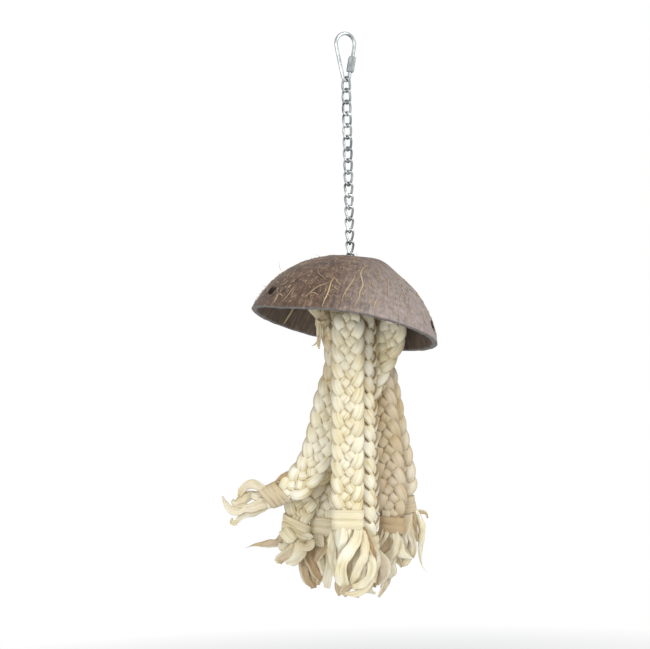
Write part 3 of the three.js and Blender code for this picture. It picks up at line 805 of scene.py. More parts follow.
# %% Traced strips
LEAVES = {
    "front": [
        (7.4, 0.12, 5.4, 0, (341.2, 525, 3), (340.6, 533, 5.4), (339.8, 541, 5.6), (339, 550.6, 4)),
        (5.4, 0.4, 4.4, 0, (350, 525, 2), (347, 534, 4), (343, 543, 4), (340, 551, 3)),
        (5.6, 1, 0.6, 0, (358.4, 526, 2.5), (356, 536, 7), (348.6, 547, 9), (342.1, 557.2, 9.4),
         (340.4, 567, 8.6), (341.2, 575.4, 6), (342.8, 582, 3)),
        (4.8, 0.9, 0.6, 0.02, (361.1, 526.9, 2), (365.1, 543.4, 6), (364.2, 553.2, 8), (359.3, 562.1, 8),
         (355.7, 570.2, 6.6), (352.1, 580.9, 3.4)),
        (4.6, 0.6, 0.6, 0.5, (357.5, 525, 0), (356.6, 542.5, 0), (353.5, 553.2, 2), (350.8, 560.4, 2.4),
         (348.6, 567.5, 2), (347.7, 575.5, 1)),
        (2.6, 0.7, 0.5, 0.9, (362.5, 524.6, 1), (365.5, 531.8, 2), (371.8, 547, 4), (374, 556.8, 4),
         (373.6, 563.9, 3), (370.4, 569.3, 3)),
        (4.6, 0.8, 0.6, 0.1, (361.5, 525, 0.5), (364, 537, 1.4), (366.4, 547.9, 3), (370.9, 558.6, 6),
         (370.9, 567.5, 7), (366.4, 576.4, 6.6), (359.3, 581.8, 6), (352.1, 584.5, 5)),
        (4.4, 0.6, 0.6, 0.15, (363, 525, -1), (369, 543, -0.4), (372.7, 562.1, 1), (370.9, 573.8, 3),
         (366.4, 582.7, 4.4), (360.2, 588, 5), (353, 590.3, 4.6), (344.1, 590.3, 3.6)),
        (4.4, 0.6, 0.6, 0.08, (333.4, 526.4, 0), (331.8, 545.2, 0.6), (332.5, 558.6, 1.6),
         (335.2, 569.3, 2.4), (338.8, 577.3, 2.4)),
        (5, 0.6, 0.6, 0.1, (361.1, 526.4, 0), (368.2, 540.7, 0.6), (373.6, 551.4, 1), (375.2, 560.4, 1.4),
         (373.6, 570.2, 1.8), (371.8, 579.1, 2)),
        (9, 0.8, 0.6, 0.22, (352, 525, 0.4), (354.4, 545, 1.6), (352.6, 563, 2.8), (350, 581, 2.2)),
        (7.4, 0.8, 0.6, 0.15, (360.5, 525, 0), (361.6, 548, 1.2), (359, 566, 2), (357, 586, 1.8)),
        (8, 0.7, 0.6, 0.3, (348.6, 526.4, -2), (352.1, 549.6, -3), (353, 567.5, -2.4), (348.6, 580.9, -1)),
        (7, 0.7, 0.6, 0.25, (362.9, 526.4, -2), (365.5, 549.6, -3), (363.8, 569.3, -2.6),
         (357.5, 581.8, -1.4)),
        (6, 0.7, 0.6, 0.3, (337.9, 526.4, -2), (337, 549.6, -3), (340.5, 569.3, -2.6),
         (346.8, 580.9, -1.4)),
    ],
    "right_front": [
        (6.8, 0.6, 0.6, 0.55, (371.8, 547, 1), (374.6, 553.4, 1.4), (381.6, 560.4, 2), (384.3, 567.5, 2.4),
         (382.9, 575.5, 2.4), (377.1, 583.6, 1.6)),
        (5.2, 0.35, 0.6, 0.45, (371.6, 547, -1), (373.6, 558.6, -1), (380.7, 572.9, -1),
         (385.2, 581.8, -1), (382.9, 588, -0.6), (377.6, 595.6, 0)),
        (5, 0.7, 0.6, 0.2, (371.4, 547, 1), (370.9, 560.4, 1), (370.9, 574.6, 1), (369.1, 583.6, 0.6),
         (365.5, 590.7, 0.6)),
        (5, 0.4, 0.6, 0.05, (371.2, 547, 2), (368.2, 562.1, 2), (367.3, 580.9, 1.4), (366.4, 588, 1.6),
         (370.9, 589.8, 2.2), (375.4, 591.6, 2.6)),
        (5, 0.7, 0.6, 0.55, (371.2, 547, -1.6), (366.4, 560.4, -2), (357.5, 574.6, -3),
         (348.6, 585.4, -3.4), (343.2, 590.7, -3), (346.3, 596.1, -2.4)),
        (4, 0.7, 0.6, 0.6, (371.2, 547, -2.6), (368.2, 560.4, -3), (362.9, 576.4, -4), (358.8, 588, -4),
         (357.9, 597.4, -3.6)),
        (4.6, 0.7, 0.6, 0.6, (371, 547, -3.4), (366.4, 562.1, -4), (353, 576.4, -5), (339.6, 580.9, -5),
         (337.9, 588, -4.6), (341.4, 594.3, -4)),
        (4, 0.5, 0.6, 0.85, (371.4, 547, 2.4), (371.8, 560.4, 2.4), (374.5, 571.1, 3), (375.4, 580, 3),
         (373.6, 585.4, 2.4)),
    ],
    "right": [
        (1.9, 0.6, 0.6, 0.6, (385.2, 529.1, 3), (381.2, 540.7, 5), (376.7, 547.4, 5)),
        (2, 0.6, 0.6, 0.45, (388.8, 529.1, 3.4), (385.6, 539.8, 5.6), (378.5, 548.8, 5.4)),
        (6, 0.6, 0.6, 0.1, (392.3, 529.1, 3), (395, 542.5, 6), (392.8, 551.4, 6.4), (388.3, 558.6, 6),
         (387, 566.6, 5), (389.6, 572.4, 4.4), (387, 578.2, 4), (382.9, 582.7, 3.4)),
        (5.6, 0.6, 0.6, 0.65, (390.5, 529.1, 0), (389.6, 540.7, 2.4), (385.6, 548.8, 3), (378, 554.6, 2.6)),
        (4.8, 0.5, 0.6, 0.12, (394.1, 531.8, 1), (394.6, 555, 3), (392.5, 565.7, 3.4), (394.3, 573.8, 3),
         (391, 580.9, 2)),
        (7, 0.3, 0.6, 0.08, (394.1, 531.8, 2), (396.8, 547, 4), (402.1, 555, 5), (408.4, 558.6, 5),
         (412.9, 559.5, 4.6)),
        (4.6, 0.6, 0.6, 0.3, (395, 531.8, -1), (395.9, 555, -1), (399.5, 563, -0.6), (401.7, 569.3, 0)),
        (4.6, 0.6, 0.6, 0.1, (397.7, 531.8, -2), (402.1, 551.4, -2), (408.4, 560.4, -1.6),
         (404.8, 566.6, -1), (401.2, 569.7, -0.6)),
        (6, 0.7, 0.6, 0.6, (384.3, 529.1, -1), (382.5, 547.9, -2), (384.3, 560.4, -2),
         (380.7, 572.9, -1.6)),
        (6, 0.7, 0.6, 0.5, (389.6, 529.1, -3), (390.5, 551.4, -3.6), (389.6, 567.5, -3.4),
         (386.1, 583.6, -2.6), (381.6, 590.7, -2)),
    ],
    "right_rear": [
        (7.2, 0.6, 0.6, 0.55, (411.1, 503.2, 2), (407.9, 522.9, 4), (405, 534.5, 4.4), (404.1, 543.4, 4),
         (407.9, 552.3, 3)),
        (2.4, 0.6, 0.5, 0.7, (413.8, 510.4, 1), (415.7, 526.4, 1.4), (417.5, 536.2, 1.4),
         (418.6, 545.2, 1.4)),
        (4, 0.6, 0.6, 0.15, (410.2, 510.4, 0.6), (411.5, 535.4, 2.4), (415.1, 547, 2.6), (415.1, 555, 2.2),
         (412.7, 560.8, 1.6)),
        (3.4, 0.06, 0.5, 0, (412.9, 508.6, 0.4), (419.1, 519.3, 0.6), (422.9, 529.1, 0.6),
         (422.5, 540.7, 0.4), (421.6, 553.2, 0.2), (422.2, 563, 0.2), (423.8, 569.7, 0.2),
         (428.2, 576, 0.4)),
        (2, 0.5, 0.5, 0.75, (412, 510.4, -0.6), (418.2, 515, -0.4), (423.6, 514.8, -0.2),
         (427.9, 516.6, 0), (429.6, 521.5, 0)),
        (6.4, 0.7, 0.6, 0.5, (407.5, 503.2, -1), (404.8, 522.9, -2), (403, 540.7, -2),
         (407.5, 558.6, -1.6)),
        (6, 0.7, 0.6, 0.3, (412.9, 505, -2), (412.9, 527.3, -3), (412, 543.4, -3), (411.1, 558.6, -2)),
        (5.4, 0.7, 0.6, 0.35, (409.3, 505, -3), (408.4, 528.2, -4), (406.6, 546.1, -4), (403, 566.6, -3.4)),
    ],
    "rear": [
        (5.2, 0.6, 0.6, 0.25, (318.2, 530.9, 2), (318.7, 540.7, 4), (321.8, 548.8, 4.2)),
        (5.4, 0.6, 0.6, 0.7, (324.5, 530.9, 1), (324, 547, 3), (320, 555, 3.6), (315.7, 563.9, 3)),
        (6.2, 0.6, 0.6, 0.85, (318.2, 530.9, -1), (308.4, 557.7, 1), (312, 567.5, 1.6),
         (315.1, 575.5, 1.6), (320.9, 581.8, 1.2)),
        (5.2, 0.6, 0.6, 0.75, (316.4, 530.9, -2), (304.8, 560.4, -1), (303.8, 572.9, 0),
         (306.6, 582.7, 0.4), (312.9, 590.7, 0.6)),
        (6.2, 0.7, 0.6, 0.65, (319.1, 530.9, -3), (312, 567.5, -2), (313.3, 580, -1), (315.1, 590.7, -0.6)),
        (5, 0.6, 0.6, 0.2, (322.7, 530.9, 0), (320.4, 562.1, 2), (322.9, 571.1, 2.6), (323.8, 578.2, 2)),
        (5.8, 0.75, 0.6, 0.12, (328.9, 530.9, 0), (330.7, 565.7, 2.4), (328.2, 575.5, 3),
         (326.4, 583.6, 2.6), (325.4, 589.8, 2.2)),
        (5, 0.6, 0.6, 0.55, (327.1, 530.9, -1), (329.4, 547.9, 0), (328.2, 562.1, 0)),
        (6, 0.7, 0.6, 0.6, (323.6, 530.9, -3), (324.5, 555, -3.4), (320.9, 572.9, -3), (318.2, 588, -2.4)),
    ],
    "left_rear": [
        (6.8, 0.6, 2, 0.1, (283.1, 530.1, 2.5), (288.5, 536.2, 5.4), (294.6, 541.6, 4.4)),
        (5, 0.6, 0.6, 0.08, (294.6, 530.1, 2.6), (301.5, 536.2, 5), (308.4, 537, 5.6), (311.6, 539.7, 5)),
        (4.6, 0.6, 0.6, 0.35, (311.6, 539.3, 5), (309.2, 546.2, 5.2), (303.8, 547.3, 4.6),
         (299.2, 543.9, 4)),
        (7.4, 0.7, 0.6, 0.12, (298.5, 532.4, 1), (301.1, 545.4, 4), (300, 553.1, 4.6), (294.6, 559.6, 4.4),
         (285.8, 563.8, 3.6)),
        (5.4, 0.6, 1.4, 0.55, (295.4, 532.4, 0), (295.4, 546.2, 2.6), (290, 552.3, 3.4),
         (282.4, 556.9, 3.4), (278.2, 560.7, 2.6), (282, 564.2, 1.6)),
        (5.4, 0.6, 1.4, 0.2, (290, 532.4, 0), (288.5, 543.9, 2), (283.1, 548.1, 2.4), (277.4, 546.5, 2)),
        (4.2, 0.05, 0.6, 0.6, (284.7, 530.8, -1), (281.5, 540, 0), (278.9, 543.9, 0.4), (271.7, 545, 0.4),
         (262.5, 545.6, 0.4), (253.3, 546.3, 0.4), (245.6, 549, 0.4)),
        (1.1, 0.3, 0.5, 0.6, (306, 495.4, 3), (310, 497.8, 4.4), (315, 502.2, 5), (319.7, 507, 5)),
        (6, 0.7, 0.6, 0.5, (291.6, 532.4, -2), (291.6, 546.2, -2.6), (288.5, 555.4, -2),
         (283.9, 560.7, -1)),
        (6, 0.7, 0.6, 0.5, (300.8, 532.4, -2), (301.5, 546.2, -3), (300, 556.9, -2.6), (294.6, 562.2, -2)),
    ],
    "left": [
        (4.2, 0.75, 1.6, 0.3, (267.6, 494, 1), (262.8, 488.1, 2), (258.7, 484.8, 2.4), (253.1, 482.8, 2.4),
         (247.1, 484.6, 2.2), (242.5, 489.2, 2.2), (238.9, 494.6, 2)),
        (5.6, 0.6, 2.2, 0.25, (267, 493.6, 0), (262.4, 493.6, 1.8), (256.8, 495, 2.6), (251.3, 493.5, 2)),
        (4.8, 0.6, 1.6, 0.25, (257.9, 494, -1), (251.3, 494.4, 0), (243, 498.4, 1), (236.5, 502.6, 1.2),
         (231.8, 500.3, 0.6)),
        (5, 0.65, 1.8, 0.3, (271.7, 499.4, 0), (267.9, 500.6, 1), (260.5, 502.8, 2), (253.1, 506, 2.2),
         (245.7, 507.2, 2), (240.1, 506.4, 1.6)),
        (4.6, 0.25, 1.2, 0.25, (248.7, 504.6, 1), (243.6, 506.4, 2.4), (238.2, 508.8, 3),
         (233.4, 508.6, 3), (228.9, 505.4, 2.6), (225.5, 500.4, 2.4), (222.8, 495.3, 2)),
        (3.8, 0.5, 1.2, 0.2, (270.1, 501.3, -1), (265, 506.4, -0.6), (259.6, 509.6, -0.4),
         (253.1, 512.8, 0), (245.7, 513.8, 0.2), (241.1, 516.3, 0.4), (237.8, 520.3, 0.6),
         (233.2, 522, 0.6)),
        (2.4, 0.4, 0.8, 0.25, (237.4, 521.3, 0.8), (233.8, 522, 1), (232.2, 519.7, 1), (233.4, 516.9, 1)),
        (2.2, 0.3, 0.5, 0.85, (290, 472.6, 2.6), (283.2, 475.2, 2.2), (277.4, 480.2, 2),
         (270.8, 482.8, 1.6)),
    ],
}
NECK_TAILS = [
    (1.9, 0.5, 0.5, 0.35, (320.5, 320.5, 5.4), (319.2, 327, 6.2), (319.5, 338, 6), (318.7, 348.8, 5.4)),
    (1.4, 0.5, 0.5, 0.25, (319.5, 321, 5.4), (317.7, 329, 6.4), (318, 339, 6.2), (317.2, 346.5, 5.6)),
    (0.9, 0.4, 0.4, 0.5, (318.4, 335, 6.4), (317.4, 341.5, 6.4), (314.8, 344.4, 6), (311.8, 346, 5.6)),
    (1, 0.5, 0.4, 0.3, (321, 322, 5.4), (322.4, 328, 5.8), (322.3, 334, 5.6), (323.2, 338, 5)),
    (2.2, 0.6, 0.7, 0.3, (315.8, 320, 4), (319.8, 322.4, 5.8), (325.4, 320.4, 4.4)),
]
print(f"{sum(len(strips) for strips in LEAVES.values())} loose strips and {len(NECK_TAILS)} tails traced")

# %% Tufts
LEAF_WIDEN = 1.35
LEAF_THIN = 0.75
LEAF_ROOT = 0.7
LEAF_TAPER_FROM = 0.45
LEAF_UNEVEN = 0.2
LEAF_FOLD = 0.3
LEAF_TWIST = 1.1
LEAF_CUT = 0.75
LEAF_CUT_FROM = 0.86
LEAF_RIB = 0.16
LEAF_WAVE = 0.9
LEAF_CRINKLE = 0.5
LEAF_EDGE_SHADE = 0.45
LEAF_EDGE_SHARP = 10
LEAF_PALE = 0.85
LEAF_SIDES = 20
LEAF_STEP = 1.2
LEAF_LEAST_STEPS = 6
LEAF_PROBE = 0.02
LEAF_CREASE = 0.8
LEAF_ROOT_SHARE = 0.25
LEAF_UNEVEN_LENGTH = 6
LEAF_RIBS = ((1, 4.4, 1), (0.5, 9, 0))
LEAF_WAVE_LENGTH = 5
LEAF_WAVES = 1.5
LEAF_CRINKLE_SIZE = (1.8, 3)
LEAF_PALE_FROM = 0.4
LEAF_SEEDS = (5.3, 1.37, 0.4)
TAIL_SEEDS = (0.7, 60)


def leaf(bm, plait, strip, seed):
    """One loose strip of a plait."""
    wide, tip, thick, tone, *pixels = strip
    wide = wide * LEAF_WIDEN
    deep = plait["line"].points[-1].y
    spots = [photo_point(px, py) for px, py, _ in pixels]
    line, long = walk([(x, deep - out, z) for (x, z), (_, _, out) in zip(spots, pixels)])
    way = 1 if seed % 2 < 1 else -1
    twist = LEAF_TWIST * noise.noise(Vector((seed, 0.5, 0.5)))
    crease = LEAF_CREASE * noise.noise(Vector((seed, 2.5, 0.5)))

    def normal(v):
        run = line(min(v + LEAF_PROBE, 1)) - line(max(v - LEAF_PROBE, 0))
        flat = run.cross(Vector((0, -1, 0))).normalized()
        turn = twist * math.sin(math.pi * v)
        return flat.cross(run).normalized() * math.cos(turn) + flat * math.sin(turn)

    def section(u, v):
        a = 2 * math.pi * u
        across = math.cos(a)
        taper = LEAF_ROOT + (1 - LEAF_ROOT) * ease(v / LEAF_ROOT_SHARE)
        taper = taper * (1 - (1 - tip) * ease((v - LEAF_TAPER_FROM) / (1 - LEAF_TAPER_FROM)))
        taper = taper * (1 + LEAF_UNEVEN * noise.noise(Vector((v * long / LEAF_UNEVEN_LENGTH, seed, 3))))
        half = wide / 2 * taper
        askew = 1 - LEAF_CUT * ease((v - LEAF_CUT_FROM) / (1 - LEAF_CUT_FROM)) * max(across * way, 0)
        skin_side = thick * LEAF_THIN / 2 * math.sin(a) * taper**0.5
        bend = LEAF_FOLD * half * abs(across - crease) * way
        rib = LEAF_RIB * sum(high * math.cos(n * half * across + k * seed) for high, n, k in LEAF_RIBS)
        wave = LEAF_WAVE * noise.noise(Vector((LEAF_WAVES * across, seed, v * long / LEAF_WAVE_LENGTH)))
        fine, slow = LEAF_CRINKLE_SIZE
        crinkle = LEAF_CRINKLE * noise.noise(Vector((half * across / fine, seed + 3, v * long / slow)))
        return half * across * askew, skin_side + bend + rib + wave + crinkle

    # Painted shade along both edges of the strip.
    def painted_shade(u, v):
        return LEAF_EDGE_SHADE * abs(math.cos(2 * math.pi * u)) ** LEAF_EDGE_SHARP

    def toned(u, v):
        return tone * (1 - LEAF_PALE * ease(math.cos(2 * math.pi * u) * way / LEAF_PALE_FROM - 1))

    steps = max(round(long / LEAF_STEP), LEAF_LEAST_STEPS)
    sweep(bm, line, normal, section, LEAF_SIDES, steps, (2 * wide, long), painted_shade, tone=toned)


bm = bmesh.new()
for number, strip in enumerate(NECK_TAILS):
    leaf(bm, PLAITS["left"], strip, TAIL_SEEDS[0] * number + TAIL_SEEDS[1])
tails = piece("neck_tails_left", bm, [husk_tie], "braid_left", [])
for order, (name, plait) in enumerate(PLAITS.items()):
    bm = bmesh.new()
    for number, strip in enumerate(LEAVES[name]):
        leaf(bm, plait, strip, LEAF_SEEDS[0] * order + LEAF_SEEDS[1] * number + LEAF_SEEDS[2])
    plait["tuft"] = piece(f"tuft_{name}", bm, [husk], f"braid_{name}", [f"husk_ends_{name}"])
print(f"{len(PLAITS)} tufts")

# %% [markdown]
# ## Plait paths
# The route of each plait is sampled into a path of points, PATH_STEP millimetres apart, given in
# metres.

PATH_STEP = 2
for name, plait in PLAITS.items():
    route = plait["line"]
    steps = round(route.long / PATH_STEP)
    path = [route.at(route.long * i / steps) * MM for i in range(steps + 1)]
    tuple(path[0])

# %% [markdown]
# ## Quick link, chain and ring
# Bent wire is a round section drawn along a line. The quick link's line is a wide arc, a narrow arc and
# the two straights that touch both, and it stops inside the nut. A chain link's line is an oval that is
# twisted about its length. The nut's solid already has its true shape, so it only takes the steel. One
# chain link could be copied and turned, but a line that depends on its number gives each its place and its
# turn at once.

# %% Quick link
LINK_WIRE = 2.2
LINK_LENGTH = 32
LINK_WIDTH = 15.8
NUT_LENGTH = 10
NUT_DOWN = 11.4
NUT_GRIP = 2.6
FIT_GAP = 0.36
CHAIN_WIRE = 1.5
CHAIN_WIDTH = 6.2
CHAIN_PITCH = 7.41
CHAIN_LINKS = 16
CHAIN_START = -59
CHAIN_TWIST = 94
RING_RADIUS = 9
TOP_STEPS = 20
FOOT_STEPS = 12
FOOT_LEAD = 0.5
LINK_GRID = (18, 120)
LINK_ROUND = 8
CHAIN_GRID = (12, 56)
CHAIN_STRIP = (4.7, 24)
RING_GRID = (14, 64)
RING_STRIP = (7, 56)


def flat_turn(degrees):
    """The level direction at an angle from X."""
    return Vector((math.cos(math.radians(degrees)), math.sin(math.radians(degrees)), 0))


link_way = flat_turn(CHAIN_START + 90)
top_radius = (LINK_WIDTH - LINK_WIRE) / 2
foot_radius = (LINK_WIRE + CHAIN_WIRE) / 2 + FIT_GAP
top_z = LINK_WIRE / 2 - top_radius
foot_z = LINK_WIRE - LINK_LENGTH + LINK_WIRE / 2 + foot_radius
slant = math.asin((top_radius - foot_radius) / (top_z - foot_z))


def link_arc(radius, z, start, turn, steps):
    """Points of an arc in the plane of the quick link."""
    angles = [start + turn * i / steps for i in range(steps + 1)]
    return [link_way * (radius * math.cos(a)) + Vector((0, 0, z + radius * math.sin(a))) for a in angles]


top_arc = link_arc(top_radius, top_z, -slant, math.pi + 2 * slant, TOP_STEPS)
foot_arc = link_arc(foot_radius, foot_z, math.pi + slant, math.pi - 2 * slant, FOOT_STEPS)
down = (foot_arc[-1] - top_arc[0]).normalized()
link_start = [top_arc[0] + down * (NUT_DOWN - NUT_LENGTH / 2 + NUT_GRIP), top_arc[0] + down]
link_stop = [foot_arc[-1] - down * FOOT_LEAD, top_arc[0] + down * (NUT_DOWN + NUT_LENGTH / 2 - NUT_GRIP)]
line, long = walk(link_start + top_arc + foot_arc + link_stop)
bm = bmesh.new()
across_link = link_way.cross(Vector((0, 0, 1)))
sweep(bm, line, lambda v: across_link, round_section(LINK_WIRE), *LINK_GRID, (LINK_ROUND, long))
piece("quick_link_wire", bm, [link_steel], "quick_link", ["quick_link"])
nut_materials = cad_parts["quick_link_nut"].data.materials
nut_materials.clear()
nut_materials.append(link_steel)
print(f"quick link of {long:.0f} mm of wire")

# %% Chain
link_high = CHAIN_PITCH + CHAIN_WIRE + FIT_GAP
bend = (CHAIN_WIDTH - CHAIN_WIRE) / 2
straight = link_high - 2 * bend


def chain_line(number):
    """The twisted oval of one chain link, and the way across its plane."""
    arc = math.pi * bend
    whole = 2 * (arc + straight)
    first = CHAIN_START + number * (CHAIN_TWIST + 90)
    top = foot_z - number * CHAIN_PITCH

    def flat(v):
        s = (v % 1) * whole
        if s < arc:
            return bend * math.cos(s / bend), -bend + bend * math.sin(s / bend)
        if s < arc + straight:
            return -bend, -bend - (s - arc)
        if s < 2 * arc + straight:
            a = math.pi + (s - arc - straight) / bend
            return bend * math.cos(a), -bend - straight + bend * math.sin(a)
        return bend, -bend - straight + (s - 2 * arc - straight)

    def turn(v):
        return first - CHAIN_TWIST * flat(v)[1] / link_high

    def line(v):
        return flat_turn(turn(v)) * flat(v)[0] + Vector((0, 0, top + flat(v)[1]))

    return line, lambda v: flat_turn(turn(v) + 90)


for number in range(CHAIN_LINKS):
    bm = bmesh.new()
    line, normal = chain_line(number)
    sweep(bm, line, normal, round_section(CHAIN_WIRE), *CHAIN_GRID, CHAIN_STRIP, loop=True)
    label = f"{number + 1:02d}"
    piece(f"chain_wire_{label}", bm, [steel], f"link_{label}", [f"chain_link_{label}"])
print(f"{CHAIN_LINKS} chain links")

# %% Carrier ring
ring_way = flat_turn(CHAIN_START + CHAIN_LINKS * (CHAIN_TWIST + 90))
ring_middle = ring_bottom + Vector((0, 0, RING_RADIUS))


def ring_point(degrees):
    """A point of the ring's wire, at an angle from its bottom."""
    a = math.radians(degrees)
    return ring_middle + ring_way * (RING_RADIUS * math.sin(a)) - Vector((0, 0, RING_RADIUS * math.cos(a)))


bm = bmesh.new()
ring_side = ring_way.cross(Vector((0, 0, 1)))
ring_round = round_section(RING_WIRE)
sweep(bm, lambda v: ring_point(360 * v), lambda v: ring_side, ring_round, *RING_GRID, RING_STRIP, loop=True)
piece("carrier_wire", bm, [steel], "ring", ["carrier_ring"])
print(f"ring of {2 * RING_RADIUS} mm")

# %% [markdown]
# ## Hangers
# A loop of husk twine goes over the ring and stands on the top of each plait. The twine is laid from two
# yarns, so its section is a pair of lobes that turns as it goes along. A smooth tube would be simpler, but
# the lay of the twine shows from near by.

# %% Twine loops
TWINE = 1.3
TWINE_STEP = 16
TWINE_FOOT = 2.2
TWINE_LAY = 5
TWINE_LOBE = 0.2
TWINE_BEND = 8
TWINE_SIDES = 10
TWINE_RINGS = 2
TWINE_ROUND = 4
TWINE_LEAN = 0.01


def twine_loop(bm, plait):
    """The hairpin of twine that carries one plait."""
    turn = plait["slot"] * TWINE_STEP
    hold = ring_point(turn)
    wire_way = ring_way * math.cos(math.radians(turn)) + Vector((0, 0, math.sin(math.radians(turn))))
    at, along, _, _ = plait["line"].frame(0)
    pull = at - along * TWINE_FOOT - hold
    pull = (pull - wire_way * pull.dot(wire_way)).normalized()
    spread = wire_way.cross(pull)
    apart = (spread - along * spread.dot(along)).normalized() * (TWINE / 2 + FIT_GAP)
    radius = (RING_WIRE + TWINE) / 2 + FIT_GAP
    points = [at - along * FIT_GAP + apart, at - along * TWINE_FOOT + apart]
    for i in range(TWINE_BEND + 1):
        a = math.pi * i / TWINE_BEND
        points.append(hold + spread * (radius * math.cos(a)) - pull * (radius * math.sin(a)))
    points += [at - along * TWINE_FOOT - apart, at - along * FIT_GAP - apart]
    line, long = walk(points)

    def section(u, v):
        a = 2 * math.pi * u
        yarn = abs(math.cos(a - 2 * math.pi * v * long / TWINE_LAY))
        lobe = TWINE / 2 * (1 - TWINE_LOBE + TWINE_LOBE * yarn)
        return lobe * math.cos(a), lobe * math.sin(a)

    side = wire_way + Vector((0, 0, TWINE_LEAN))
    sweep(bm, line, lambda v: side, section, TWINE_SIDES, round(long * TWINE_RINGS), (TWINE_ROUND, long))


for name, plait in PLAITS.items():
    bm = bmesh.new()
    twine_loop(bm, plait)
    piece(f"twine_{name}", bm, [husk_twine], "ring", [f"hanger_{name}"])
print("hangers tied")

# %% [markdown]
# ## The coconut shell
# The shell is a cap of a ball. Its wall is drawn as one closed outline, from the crown down the outside,
# round the sawn rim and up the inside, and a grid carries that outline all the way round. Low noise makes
# it uneven as nuts are. The holes are drilled afterwards with a Boolean modifier, which is applied. Half a
# ball with a Solidify modifier would come close, but its rim would stand square to the wall, and a saw
# cuts it level.

# %% Shell
SHELL_RIM = 120
SHELL_HEIGHT = 45
SHELL_WALL = 3.5
SHELL_ROLL = 12.8
SHELL_PITCH = 10
SEAT_GAP = 0.7
CROWN_HOLE = 10
SIDE_HOLE = 7.4
SIDE_HOLE_RISE = 9
SIDE_HOLE_TURNS = (-60, 72, 184)
CUT_DIP = 3.4
CUT_DIP_RISE = 20
CUT_DIP_TURN = -42
CUT_DIP_SHARP = 6
SHELL_UNEVEN = 0.5
KNOB_PIXEL = (380, 263)
KNOB_RISE = 2.4
KNOB_SPREAD = 10
# The painted sheen lies on the side turned this far to the right, toward the key lamp.
SHEEN_TURN = 66
SHEEN_SIDE_SHARE = 1.2
OUTSIDE_SHARE = 0.5
RIM_SHARE = 0.06
RIM_ROUND = 0.012
RIM_BULGE = 0.75
RIM_ROUGH = 0.35
RIM_GRAIN = 4
CROWN_LEAST = 0.02
LUMP_SIZE = 18
LUMP_FROM = 8
LUMP_FADE = 10
SHELL_GRID = (200, 100)
SHELL_STRIP = (330, 140)
DRILL_SIDES = 40
DRILL_WALLS = 6
DRILLED = 3

ball = ((SHELL_RIM / 2) ** 2 + SHELL_HEIGHT**2) / (2 * SHELL_HEIGHT)
hollow = ball - SHELL_WALL
roll = Matrix.Rotation(math.radians(SHELL_ROLL), 3, "Y")
tilt = roll @ Matrix.Rotation(math.radians(-SHELL_PITCH), 3, "X")
shell_off = tilt @ Vector((0, 0, SHELL_HEIGHT / 2 - ball))
crown_rise = math.sqrt(hollow**2 - shell_off.x**2 - shell_off.y**2)
ring_outer = RING_RADIUS + RING_WIRE / 2
seat_slope = abs(shell_off.x * ring_way.x + shell_off.y * ring_way.y) / crown_rise
seat_drop = ring_outer - math.sqrt(ring_outer**2 - (CROWN_HOLE / 2) ** 2)
crown_z = ring_middle.z + ring_outer - seat_drop + SEAT_GAP + seat_slope * CROWN_HOLE / 2
shell_centre = Vector((shell_off.x, shell_off.y, crown_z - crown_rise))
rim_drop = ball - SHELL_HEIGHT
outer_turn = math.acos(rim_drop / ball)
inner_turn = math.acos(rim_drop / hollow)
knob_x, knob_z = photo_point(*KNOB_PIXEL)
knob = (Vector((knob_x, shell_centre.y, knob_z)) - shell_centre).normalized() * ball


def wall_point(radius, turn):
    """Radius from the axis and height over the ball's centre, at a turn from the crown."""
    return Vector((radius * math.sin(turn), radius * math.cos(turn)))


def shell_outline(v):
    """A point of the wall's outline, from the crown round the rim to the crown again."""
    if v < OUTSIDE_SHARE:
        return wall_point(ball, max(outer_turn * v / OUTSIDE_SHARE - RIM_ROUND, CROWN_LEAST))
    if v < OUTSIDE_SHARE + RIM_SHARE:
        t = (v - OUTSIDE_SHARE) / RIM_SHARE
        spot = wall_point(ball, outer_turn - RIM_ROUND).lerp(wall_point(hollow, inner_turn - RIM_ROUND), t)
        return spot - Vector((0, RIM_BULGE * (4 * t * (1 - t)) ** 0.5))
    back = (1 - v) / (1 - OUTSIDE_SHARE - RIM_SHARE)
    return wall_point(hollow, max(inner_turn * back - RIM_ROUND, CROWN_LEAST))


def facing(u, degrees):
    """How much a place round the shell faces a turn from the viewer to the right, from -1 to 1."""
    a = 2 * math.pi * u
    turn = math.radians(degrees)
    return math.cos(a) * math.sin(turn) - math.sin(a) * math.cos(turn)


def shell_place(u, v):
    """A point of the shell's wall."""
    out, up = shell_outline(v)
    a = 2 * math.pi * u
    spot = Vector((out * math.cos(a), out * math.sin(a), up))
    lump = noise.noise(spot / LUMP_SIZE) * ease((out - LUMP_FROM) / LUMP_FADE)
    spot += spot.normalized() * SHELL_UNEVEN * lump
    low = ease((rim_drop + CUT_DIP_RISE - up) / CUT_DIP_RISE)
    spot.z -= CUT_DIP * max(facing(u, CUT_DIP_TURN), 0) ** CUT_DIP_SHARP * low
    if OUTSIDE_SHARE < v < OUTSIDE_SHARE + RIM_SHARE:
        spot.z += RIM_ROUGH * noise.noise(spot / RIM_GRAIN)
    spot = tilt @ spot
    spot += spot.normalized() * KNOB_RISE * math.exp(-(((spot - knob).length / KNOB_SPREAD) ** 2))
    return spot + shell_centre


def shell_sheen_side(u, v):
    """How much painted sheen and paler scratches the shell takes, on the side that faces the key lamp."""
    out, _ = shell_outline(v)
    return ease(SHEEN_SIDE_SHARE * out / ball * facing(u, SHEEN_TURN))


def shell_part(v):
    """Which finish a face takes, by where it lies on the outline."""
    if v < OUTSIDE_SHARE:
        return 0
    return 2 if v < OUTSIDE_SHARE + RIM_SHARE else 1


bm = bmesh.new()
skin(bm, *SHELL_GRID, shell_place, SHELL_STRIP, part=shell_part, tone=shell_sheen_side)
finishes = [shell_outside, shell_inside, shell_cut, shell_drilled]
shell = piece("coconut", bm, finishes, "shell", ["coconut_shell"])
print(f"shell of {len(shell.data.polygons)} faces")


